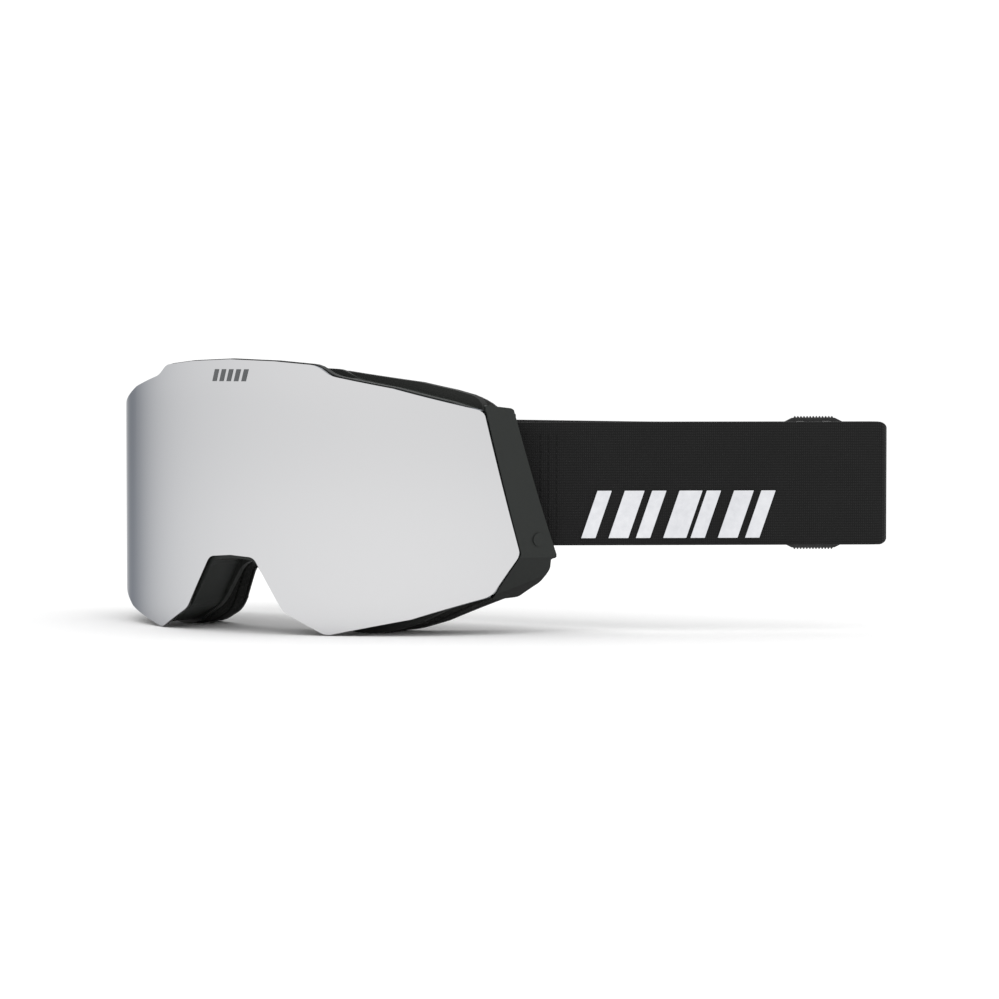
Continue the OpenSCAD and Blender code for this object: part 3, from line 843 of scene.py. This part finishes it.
@dataclass
class Frame:
    """The moulded chassis with its flange, magnets and vent foam."""

    foam_t: float = 15.0
    flange_t: float = 2.5
    foam_w: float = 10.0
    wall_t: float = 2.4
    vent_foam_t: float = 2.4
    vent_split_z: float = 40.0
    bond: float = 0.05

    def build(self) -> None:
        """Builds the flange and dresses the chassis."""
        dress_node("frame_chassis", NYLON)
        dress_node("frame_magnets", NICKEL)
        flange = Slab(
            LINES.foam_outline(0, 0),
            LINES.face_arc(self.foam_t + self.flange_t - self.bond),
            LINES.face_arc(self.foam_t),
            LINES.frame_outline().inset(self.foam_w * 0.6, 4),
            edge=0.6,
            segments=3,
        )
        make_piece(flange.mesh(), "foam_flange", TPU, "frame", ["face_flange"])
        self.vent_foam()

    def vent_foam(self) -> None:
        """Builds the foam strips that line the walls inside the vents."""
        for node in ("top_vent_foam", "lower_vent_foam_left", "lower_vent_foam_right"):
            low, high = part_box(node)
            outer = LINES.frame_outline().inset(self.wall_t + 0.35, 3)
            bm = Slab(
                outer,
                LINES.lens_arc(1.7 + 2.2 + 2.5),
                LINES.face_arc(self.foam_t + self.flange_t + 0.4),
                outer.inset(self.vent_foam_t - 0.1, 3),
                edge=0,
            ).mesh()
            top = node.startswith("top")
            if top:
                trim(bm, (0, 0, (LINES.temple_top[1] + 1) * MM), (0, 0, 1))
            trim(bm, (low.x, 0, 0), (1, 0, 0))
            trim(bm, (high.x, 0, 0), (-1, 0, 0))
            if not top:
                # takes away the upper part of the ring, and leaves this cut open
                trim(bm, (0, 0, self.vent_split_z * MM), (0, 0, -1), close=False)
            bmesh.ops.recalc_face_normals(bm, faces=bm.faces[:])
            soften(bm, 0.3, 2)
            name = node.replace("_foam", "_strip")
            piece = make_piece(bm, name, FIRM_FOAM, "frame", [node])


@dataclass(frozen=True)
class FoamLayer:
    """One layer of the face foam: its thickness, how far it flares, and its finish."""

    name: str
    node: str
    front: float
    thickness: float
    flare: float
    finish: Finish
    slot: str
    edge: float


@dataclass
class FaceFoam:
    """Three bonded layers of foam that follow the face."""

    foam_w: float = 10.0
    bond: float = 0.05
    layers: tuple[FoamLayer, ...] = (
        FoamLayer("foam_firm", "face_foam_base", 15, 7, 0, FIRM_FOAM, "black_foam", 0.8),
        FoamLayer("foam_soft", "face_foam_middle", 8, 6, 3, SOFT_FOAM, "grey_foam", 1.2),
        FoamLayer("foam_fleece", "face_fleece", 2, 2, 5, FLEECE, "fleece", 0.9),
    )

    def build(self) -> None:
        """Builds the layers."""
        for layer in self.layers:
            outline = LINES.foam_outline(layer.flare, 1)
            slab = Slab(
                outline,
                LINES.face_arc(layer.front - self.bond),
                LINES.face_arc(layer.front - layer.thickness),
                outline.inset(self.foam_w + layer.flare * 0.5, 5),
                edge=layer.edge,
                segments=4,
                clamp=False,
            )
            piece = make_piece(
                slab.mesh(), layer.name, layer.finish, "frame", [layer.node], sharp=70
            )


@dataclass
class Outriggers:
    """The moulded wings that carry on the lens's curve and hold the strap's bars."""

    thickness: float = 2.4
    gap: float = 0.3
    top_run: float = 11.0
    low_run: float = 14.5
    arm_t: float = 2.4
    plate_t: float = 2.0
    plate_l: float = 7.2
    plate_out: float = 1.05
    plate_fore: float = 0.4
    bar_r: float = 1.5
    fold: float = 0.06
    rim_fold: float = 0.5

    def face(self) -> Outline:
        """Returns the left wing's outline from the front."""
        foot, jaw = LINES.foot_z, LINES.jaw_z
        top_z = LINES.head_z + 1.8
        top_x, low_x = LINES.edge_x(top_z) + self.gap, LINES.lens_half_w + self.gap
        jaw_x = LINES.lens_half_w - LINES.jaw_cut
        steps = ((1, 0), (1, 1.3), (0.84, 1.7), (0.82, 5.2), (0.58, 10), (0.35, 12))
        points = [(top_x, top_z + 1.6), (LINES.round_x(top_x, self.top_run), top_z + 0.3)]
        points += [(LINES.round_x(low_x, self.low_run * run), foot - drop) for run, drop in steps]
        points += [(low_x, jaw - 0.6), (jaw_x + self.gap, jaw - 1.4), (low_x, foot)]
        return Outline(tuple(points), 0.8)

    def shell(self) -> BMesh:
        """Builds the left shell, folded at its foot and again along its lower rim; the faces below
        each fold take a darker finish, which is painted shade.
        """
        bm = Slab(
            self.face(),
            LINES.lens_arc(),
            LINES.lens_arc(self.thickness),
            edge=0.6,
            segments=3,
            step=1.0,
            square=True,
        ).mesh()
        axis = Vector((0, LINES.lens_radius * MM, 0))
        jaw_x = LINES.lens_half_w - LINES.jaw_cut
        rear_x = LINES.round_x(LINES.lens_half_w, self.low_run * 0.82)
        arc = LINES.lens_arc()
        jaw = Vector((jaw_x, arc.y_at(jaw_x), LINES.jaw_z)) * MM
        rear = Vector((rear_x, arc.y_at(rear_x), LINES.foot_z - 7)) * MM
        inward = axis - Vector((jaw.x, jaw.y, 0))
        folds = (
            (Vector((0, 0, (LINES.foot_z - 1) * MM)), Vector((0, 0, 1)), self.fold, 1),
            (jaw, inward.cross(rear - jaw).normalized(), self.rim_fold, 2),
        )
        for spot, normal, slope, painted_shade_slot in folds:
            normal = normal if normal.z > 0 else -normal
            everything = bm.verts[:] + bm.edges[:] + bm.faces[:]
            bmesh.ops.bisect_plane(bm, geom=everything, dist=1e-7, plane_co=spot, plane_no=normal)
            # painted shade: faces below this fold take the darker finish in the fold's slot
            for face in bm.faces:
                if (face.calc_center_median() - spot).dot(normal) < 0:
                    face.material_index = painted_shade_slot
            for v in bm.verts:
                below = -(v.co - spot).dot(normal)
                if below > 0:
                    radial = Vector((v.co.x, v.co.y - axis.y, 0)).normalized()
                    v.co -= radial * below * slope
        return bm

    def build(self) -> None:
        """Builds both wings with their arms and dresses their hardware."""
        for side, way in (("left", 1), ("right", -1)):
            shell = self.shell()
            self.place(shell, way)
            wing = make_piece(
                shell,
                f"wing_{side}",
                NYLON,
                "frame",
                [f"outrigger_{side}"],
                sharp=50,
            )
            # slots 1 and 2: painted shade on the faces below the foot fold and the rim fold
            wing.data.materials.append(SHADED_FOOT_NYLON.material())
            wing.data.materials.append(SHADED_RIM_NYLON.material())
            arms = self.arms()
            self.place(arms, way)
            make_piece(arms, f"wing_arms_{side}", NYLON, "frame")
        dress_node("outrigger_bosses", NYLON)
        for name in ("outrigger_screws", "strap_bar_left", "strap_bar_right"):
            dress_node(name, STEEL)

    def place(self, bm: BMesh, way: int) -> None:
        """Turns a left piece into a right one where way is -1."""
        if way < 0:
            bmesh.ops.scale(bm, vec=(-1, 1, 1), verts=bm.verts[:])
            bmesh.ops.reverse_faces(bm, faces=bm.faces[:])

    def arms(self) -> BMesh:
        """Builds the two arms that hold the ends of the bar, and the pad on the frame."""
        low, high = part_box("strap_bar_left")
        bar_x, bar_y = (low.x + high.x) / 2 / MM, (low.y + high.y) / 2 / MM
        frame_x, radius = LINES.frame_x, LINES.lens_radius
        screw_y = (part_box("outrigger_screws")[0].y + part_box("outrigger_screws")[1].y) / 2 / MM
        bm = bmesh.new()
        for z in (LINES.foot_z, LINES.head_z - self.arm_t):
            share = (z - LINES.foot_z) / (LINES.head_z - LINES.foot_z)
            edge = LINES.edge_x(z) + self.gap
            run = self.low_run + (self.top_run - self.low_run) * share
            out_x = LINES.round_x(edge, run - 2)
            inner = radius - self.thickness + 0.6
            out_x *= inner / radius
            near_x = edge * inner / radius
            out = (out_x, radius - math.sqrt(inner**2 - out_x**2))
            near = (near_x, radius - math.sqrt(inner**2 - near_x**2))
            boss = self.bar_r + 1.1
            plan = [
                (frame_x + 0.1, screw_y - 4),
                (frame_x + 0.1, screw_y + 3.2),
                (bar_x - boss, bar_y),
                (bar_x - boss * 0.7, bar_y + boss * 0.7),
                (bar_x, bar_y + boss),
                (bar_x + boss * 0.7, bar_y + boss * 0.7),
                out,
                near,
            ]
            face = bm.faces.new([bm.verts.new((px * MM, py * MM, z * MM)) for px, py in plan])
            raise_faces(bm, [face], (0, 0, self.arm_t))
        made = bmesh.ops.create_cube(bm, size=1)
        size = Vector(
            (self.plate_t * MM, self.plate_l * MM, (LINES.head_z - LINES.foot_z) * MM)
        )
        middle_z = (LINES.head_z + LINES.foot_z) / 2 * MM
        x, y = frame_x + self.plate_out, screw_y - self.plate_fore
        centre = Vector((x * MM, y * MM, middle_z))
        bmesh.ops.transform(
            bm, matrix=Matrix.Translation(centre) @ Matrix.Diagonal((*size, 1)), verts=made["verts"]
        )
        bmesh.ops.recalc_face_normals(bm, faces=bm.faces[:])
        soften(bm, 0.4, 2)
        return bm


@dataclass
class Route:
    """A line drawn in plan, step by step, which a webbing follows."""

    bm: BMesh = field(default_factory=bmesh.new)
    tip: BMVert | None = None
    place: Matrix = field(default_factory=Matrix)

    def start(self, x: float, y: float) -> None:
        """Puts the first point."""
        self.tip = self.bm.verts.new(self.place @ Vector((x * MM, y * MM, 0)))

    def line(self, x: float, y: float, steps: int = 1) -> None:
        """Goes straight to a point.

        Args:
            x: the point's x in the present place, in millimetres.
            y: its y.
            steps: how many edges make the line.
        """
        goal = self.place @ Vector((x * MM, y * MM, 0))
        step = (goal - self.tip.co) / steps
        for _ in range(steps):
            made = bmesh.ops.extrude_vert_indiv(self.bm, verts=[self.tip])
            self.tip = made["verts"][0]
            self.tip.co += step

    def turn(self, x: float, y: float, angle: float, steps: int) -> None:
        """Goes round a centre.

        Args:
            x: the centre's x in the present place, in millimetres.
            y: its y.
            angle: how far, in degrees, anticlockwise from above.
            steps: how many edges make the turn.
        """
        made = bmesh.ops.spin(
            self.bm,
            geom=[self.tip],
            cent=self.place @ Vector((x * MM, y * MM, 0)),
            axis=(0, 0, 1),
            angle=math.radians(angle),
            steps=steps,
            use_duplicate=False,
        )
        self.tip = next(g for g in made["geom_last"] if isinstance(g, BMVert))

    def webbing(self, low: float, width: float, rows: int) -> BMesh:
        """Raises the line into a band with a UV map of real lengths.

        Args:
            low: the height of its lower edge, in millimetres.
            width: its width.
            rows: how many faces make the width.

        Returns:
            The band's mesh, one face thick.
        """
        bm = self.bm
        run = bm.verts.layers.float.new("run")
        ends = [v for v in bm.verts if len(v.link_edges) == 1]
        here, last, total = ends[0], None, 0.0
        while here:
            here[run] = total
            nexts = [e.other_vert(here) for e in here.link_edges if e.other_vert(here) is not last]
            last, here = here, nexts[0] if nexts else None
            if here:
                total += (here.co - last.co).length
        bmesh.ops.translate(bm, vec=(0, 0, low * MM), verts=bm.verts[:])
        bmesh.ops.spin(
            bm,
            geom=bm.verts[:] + bm.edges[:],
            axis=(0, 0, 1),
            dvec=(0, 0, width * MM / rows),
            angle=0,
            steps=rows,
            use_duplicate=False,
        )
        uv = bm.loops.layers.uv.new("run")
        for face in bm.faces:
            for loop in face.loops:
                loop[uv].uv = (loop.vert[run], loop.vert.co.z)
        return bm


def weave(bm: BMesh, name: str, body: str, nodes: list[str], thickness: float) -> None:
    """Makes a band of webbing from a band one face thick.

    Args:
        bm: the band's mesh.
        name: the piece's name.
        body: the CAD body that it rides on.
        nodes: the CAD nodes that it replaces.
        thickness: the webbing's thickness, in millimetres.
    """
    piece = make_piece(bm, name, WEBBING, body, nodes, sharp=60, weighted=False)
    wall = piece.modifiers.new("thickness", "SOLIDIFY")
    wall.thickness, wall.offset = thickness * MM, 0
    wall.use_even_offset = True
    edge = piece.modifiers.new("edge", "BEVEL")
    edge.width, edge.segments, edge.angle_limit = 0.35 * MM, 2, math.radians(60)


@dataclass
class Strap:
    """The elastic strap, folded flat to the wearer's left, with its trim."""

    width: float = 45.0
    thickness: float = 1.5
    direction: float = 38.0
    length: float = 138.5
    fold_gap: float = 2.6
    bar_r: float = 1.5
    bond: float = 0.05
    tail: float = 19.0
    bend_r: float = 25.0
    corner_r: float = 9.0
    leave: float = 115.0
    back: float = 32.6
    fold_corner: float = 2.6
    stitch_l: float = 1.7
    stitch_pitch: float = 2.35
    stitch_rows: int = 3
    badge_start: float = 26.0
    badge_pitch: float = 10.0
    badge_lean: float = 6.0
    badge_foot: float = 2.6
    badge_top: float = 20.0
    badge_t: float = 0.5
    badge_widths: tuple[float, ...] = (5.4, 7.4, 5.4, 8.6, 5.4, 7.4, 5.4)
    bead_start: float = 36.0
    bead_short: float = 50.0
    bead_pitch: float = 12.0
    bead_w: float = 1.6
    bead_t: float = 0.5

    @property
    def bar(self) -> Point:
        """Returns the middle of the left bar in plan."""
        low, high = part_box("strap_bar_left")
        return (low.x + high.x) / 2 / MM, (low.y + high.y) / 2 / MM

    @property
    def low(self) -> float:
        """Returns the height of the strap's lower edge."""
        return LINES.strap_z - self.width / 2

    @property
    def inner(self) -> float:
        """Returns the distance from the bar's axis to the webbing's inner face."""
        return self.bar_r + self.bond

    @property
    def middle(self) -> float:
        """Returns the distance from the bar's axis to the middle of the webbing."""
        return self.inner + self.thickness / 2

    @property
    def fold_x(self) -> float:
        """Returns where the fold's bend starts along the strap."""
        return self.length - self.fold_gap / 2 - self.thickness

    def local(self) -> Matrix:
        """Returns the strap's own place: x along the fold's direction, from the left bar."""
        x, y = self.bar
        turn = Matrix.Rotation(math.radians(self.direction), 4, "Z")
        return Matrix.Translation((x * MM, y * MM, 0)) @ turn

    def far_end(self) -> Matrix:
        """Returns the place of the right end: x along the webbing as it leaves the bar."""
        x, y = self.bar
        turn = Matrix.Rotation(math.radians(self.leave), 4, "Z")
        return Matrix.Translation((-x * MM, y * MM, 0)) @ turn @ Matrix.Scale(-1, 4, (0, 1, 0))

    def route(self) -> Route:
        """Lays the strap from its left tail round the fold and the back to its right tail."""
        t, mid = self.thickness, self.middle
        tail_y = -self.inner + t / 2
        route = Route(place=self.local())
        route.start(self.tail, tail_y)
        route.line(10, tail_y)
        route.line(1, mid)
        route.line(0, mid)
        route.turn(0, 0, 180, 10)
        route.line(self.fold_x, -mid, 40)
        fold_y = -self.inner + self.fold_gap / 2
        route.turn(self.fold_x, fold_y, 180, 10)
        return_y = fold_y + self.fold_gap / 2 + t / 2
        slant = math.radians(self.direction)
        bend = self.bend_r * (1 - math.cos(slant)) - (return_y - t / 2) * math.cos(slant)
        bend_x = (self.back + bend) / math.sin(slant)
        route.line(bend_x, return_y, 24)
        route.turn(bend_x, return_y + self.bend_r - t / 2, -self.direction, 10)
        end = self.far_end()
        corner_mid = self.corner_r + t / 2
        leave = Vector((math.cos(math.radians(self.leave)), math.sin(math.radians(self.leave))))
        across = Vector((leave.y, -leave.x))
        start_y = route.tip.co.y / MM
        centre_y = start_y - corner_mid
        rise = (centre_y - self.bar[1] - across.y * (self.corner_r - self.inner)) / leave.y
        aside = (self.corner_r - self.inner) * across
        centre = Vector((-self.bar[0], self.bar[1])) + rise * leave + aside
        route.place = Matrix()
        route.line(centre.x, start_y, 30)
        route.turn(centre.x, centre_y, self.leave, 14)
        route.place = end
        route.line(0, -mid, 10)
        route.turn(0, 0, 180, 10)
        route.line(1, mid)
        route.line(10, tail_y)
        route.line(self.tail, tail_y)
        return route

    def build(self) -> None:
        """Builds the webbing, its stitches, its grip and its badge."""
        bm = self.route().webbing(self.low, self.width, 12)
        nodes = ["strap_outer_run", "strap_fold", "strap_return_run", "strap_back_run"]
        self.round_fold(bm)
        weave(bm, "strap_webbing", "frame", nodes, self.thickness)
        self.badge()
        self.beads()
        self.stitches()

    def round_fold(self, bm: BMesh) -> None:
        """Rounds the corners that the folded end shows from the side."""
        to_strap = self.local().inverted()
        end, half, middle = self.length - self.thickness / 2, self.width / 2, LINES.strap_z
        for v in bm.verts:
            reach = self.fold_corner - (end - (to_strap @ v.co).x / MM)
            if v.co.x > 0 and reach > 0:
                corner = self.fold_corner
                drop = corner - math.sqrt(corner**2 - min(reach, corner) ** 2)
                v.co.z = (middle + (v.co.z / MM - middle) * (half - drop * 0.9) / half) * MM

    def stitches(self) -> None:
        """Builds the rows of thread that close the loops at the bars."""
        bm = bmesh.new()
        length, pitch, rows = self.stitch_l, self.stitch_pitch, self.stitch_rows
        count = int((self.width - 6) / pitch)
        for place, out in ((self.local(), 1), (self.far_end(), 1)):
            for row in range(rows):
                for i in range(count):
                    made = bmesh.ops.create_cube(bm, size=1)
                    verts = made["verts"]
                    bmesh.ops.scale(bm, vec=(0.55 * MM, 0.2 * MM, length * MM), verts=verts)
                    ends = [e for v in verts for e in v.link_edges]
                    made = bmesh.ops.bevel(
                        bm,
                        geom=list(set(ends)),
                        offset=0.09 * MM,
                        affect="EDGES",
                        segments=1,
                        profile=0.5,
                        material=-1,
                        clamp_overlap=True,
                    )
                    verts = list({v for f in made["faces"] for v in f.verts})
                    spot = Vector(
                        (
                            (11.4 + row * 3) * MM,
                            (-self.inner - self.thickness - 0.01) * MM,
                            (self.low + 3 + pitch * (i + 0.5)) * MM,
                        )
                    )
                    bmesh.ops.translate(bm, vec=spot, verts=verts)
                    bmesh.ops.transform(bm, matrix=place, verts=verts)
        bmesh.ops.recalc_face_normals(bm, faces=bm.faces[:])
        make_piece(bm, "loop_stitches", THREAD, "frame", ["strap_stitching"], sharp=60)

    def badge(self) -> None:
        """Builds the raised plain bars on the outside of the strap."""
        bm = bmesh.new()
        face_y = -self.inner - self.thickness - self.bond
        foot, top, lean = self.badge_foot, self.badge_top, self.badge_lean
        for i, wide in enumerate(self.badge_widths):
            x = self.badge_start + i * self.badge_pitch
            points = [(x, foot), (x + wide, foot), (x + wide + lean, top), (x + lean, top)]
            verts = [
                bm.verts.new((px * MM, face_y * MM, (pz + self.low) * MM)) for px, pz in points
            ]
            face = bm.faces.new(verts)
            raise_faces(bm, [face], (0, -self.badge_t, 0))
        bmesh.ops.recalc_face_normals(bm, faces=bm.faces[:])
        soften(bm, 0.3, 3)
        bmesh.ops.transform(bm, matrix=self.local(), verts=bm.verts[:])
        make_piece(bm, "strap_bars", CHROME, "frame", ["strap_badge"], sharp=30)

    def beads(self) -> None:
        """Builds the silicone lines on the inside of the outer run."""
        bm = bmesh.new()
        length = self.length - self.bead_short
        x = (self.bead_start + length / 2) * MM
        y = (-self.inner + self.bond + self.bead_t / 2) * MM
        size = Matrix.Diagonal((length * MM, self.bead_t * MM, self.bead_w * MM, 1))
        for i in (-1, 0, 1):
            made = bmesh.ops.create_cube(bm, size=1)
            z = (self.low + self.width / 2 + i * self.bead_pitch) * MM
            where = Matrix.Translation((x, y, z))
            bmesh.ops.transform(bm, matrix=where @ size, verts=made["verts"])
        soften(bm, 0.24, 3)
        bmesh.ops.transform(bm, matrix=self.local(), verts=bm.verts[:])
        make_piece(bm, "grip_beads", SILICONE, "frame", ["strap_grip_beads"], sharp=50)


@dataclass
class Slider:
    """The toothed slider near the fold, with the webbing woven over its middle bar."""

    strap: Strap = field(default_factory=Strap)
    length: float = 21.0
    thickness: float = 1.8
    lip: float = 2.0
    back: float = 16.0
    teeth: int = 13
    tooth_h: float = 0.7
    shoulder: float = 2.6
    side_bar: float = 4.0
    mid_bar: float = 3.6
    clearance: float = 0.3

    def place(self) -> Matrix:
        """Returns the slider's place: x along the strap, y away from the webbing."""
        strap = self.strap
        x = strap.length - self.back - self.length
        y = strap.fold_gap - strap.inner + strap.thickness + self.clearance
        return strap.local() @ Matrix.Translation((x * MM, y * MM, 0))

    def comb(self) -> list[Point]:
        """Returns one end's outline: x along the slider, height beyond the webbing's edge."""
        crest = self.lip - self.tooth_h
        first = self.shoulder + 0.5
        pitch = (self.length - 2 * first) / self.teeth
        points = [(0, 0), (self.shoulder, crest)]
        for i in range(self.teeth):
            x = first + i * pitch
            points += [(x + 0.1, crest), (x + pitch / 2, self.lip), (x + pitch - 0.1, crest)]
        return points + [(self.length - self.shoulder, crest), (self.length, 0)]

    def build(self) -> None:
        """Builds the slider and the webbing on it."""
        width, low = self.strap.width, self.strap.low
        slot = (self.length - 2 * self.side_bar - self.mid_bar) / 2
        upper = [(x, low + width + z) for x, z in self.comb()]
        lower = [(x, low - z) for x, z in reversed(self.comb())]
        bm = bmesh.new()
        edges = Outline(tuple(upper + lower), 0).add_to(bm)
        for start in (self.side_bar, self.side_bar + slot + self.mid_bar):
            sides = (start, start + slot)
            bottom, top = low, low + width
            corners = [
                (sides[0], bottom), (sides[0], top), (sides[1], top), (sides[1], bottom)
            ]
            edges += Outline(tuple(corners), 0).add_to(bm)
        bmesh.ops.triangle_fill(bm, use_beauty=True, use_dissolve=False, edges=edges)
        raise_faces(bm, bm.faces[:], (0, self.thickness, 0))
        bmesh.ops.recalc_face_normals(bm, faces=bm.faces[:])
        soften(bm, 0.12, 2)
        bmesh.ops.transform(bm, matrix=self.place(), verts=bm.verts[:])
        make_piece(
            bm, "slider_comb", ACETAL, "slider", ["slider_frame"], sharp=30
        )
        self.wrap(self.side_bar + slot, self.side_bar + slot + self.mid_bar)

    def wrap(self, first: float, last: float) -> None:
        """Builds the webbing over the middle bar.

        Args:
            first: where the bar starts along the slider.
            last: where it ends.
        """
        t, room, bend = self.strap.thickness, 0.2, 0.5
        left, right = first - room - t / 2, last + room + t / 2
        top = self.thickness + 0.1 + t / 2
        route = Route(place=self.place())
        route.start(left, 0.05)
        route.line(left, top - bend)
        route.line(left + bend, top)
        route.line(right - bend, top, 3)
        route.line(right, top - bend)
        route.line(right, 0.05)
        bm = route.webbing(self.strap.low, self.strap.width, 12)
        weave(bm, "slider_webbing", "slider", ["slider_wrap"], t)


@dataclass
class Studio:
    """A pale floor, soft light and the camera."""

    azimuth: float = 34.85
    elevation: float = 2.38
    distance: float = 1.4047
    focal: float = 139.08
    aim: tuple[float, float, float] = (0.08040, 0.05598, 0.04848)

    def build(self) -> None:
        """Builds the studio."""
        scene = bpy.context.scene
        scene.view_settings.view_transform = "Standard"
        self.camera(scene)
        self.world(scene)
        bm = bmesh.new()
        bmesh.ops.create_grid(bm, x_segments=8, y_segments=8, size=6)
        mesh = bpy.data.meshes.new("floor")
        bm.to_mesh(mesh)
        bm.free()
        mesh.materials.append(FLOOR.material())
        floor = bpy.data.objects.new("floor", mesh)
        scene.collection.objects.link(floor)
        floor.location.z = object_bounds()[0].z - 0.0001
        floor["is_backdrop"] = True
        self.light("softbox_top", (0.05, -0.1, 1.5), (0.0, 0.05, 0.0), 2.2, 4)

    def camera(self, scene: bpy.types.Scene) -> None:
        """Makes the camera, level and unshifted."""
        a, e = math.radians(self.azimuth), math.radians(self.elevation)
        back = Vector((math.sin(a) * math.cos(e), -math.cos(a) * math.cos(e), math.sin(e)))
        data = bpy.data.cameras.new("camera")
        data.sensor_width, data.lens = 36, self.focal
        data.clip_start, data.clip_end = 0.05, 50
        camera = bpy.data.objects.new("camera", data)
        camera.location = Vector(self.aim) + back * self.distance
        camera.rotation_euler = (-back).to_track_quat("-Z", "Y").to_euler()
        scene.collection.objects.link(camera)
        scene.camera = camera

    def world(self, scene: bpy.types.Scene) -> None:
        """Lights the studio evenly from all round."""
        world = bpy.data.worlds.new("studio")
        world.use_nodes = True
        world.node_tree.nodes["Background"].inputs["Color"].default_value = (1, 1, 1, 1)
        world.node_tree.nodes["Background"].inputs["Strength"].default_value = 1.08
        scene.world = world

    def light(
        self, name: str, place: Sequence[float], towards: Sequence[float], size: float, power: float
    ) -> None:
        """Hangs a square softbox.

        Args:
            name: its name.
            place: where it hangs, in metres.
            towards: the point that it faces.
            size: the length of its sides.
            power: its power in watts.
        """
        data = bpy.data.lights.new(name, "AREA")
        data.size, data.energy = size, power
        lamp = bpy.data.objects.new(name, data)
        lamp.location = place
        lamp.rotation_euler = (Vector(towards) - Vector(place)).to_track_quat("-Z", "Y").to_euler()
        bpy.context.scene.collection.objects.link(lamp)


def main() -> None:
    """Builds the goggles and the studio."""
    logging.basicConfig(level=logging.INFO, format="%(name)s %(message)s")
    for part in (Studio(), Lens(), Frame(), FaceFoam(), Outriggers(), Strap(), Slider()):
        log.info("building %s", type(part).__name__)
        part.build()


if __name__ == "__main__":
    main()
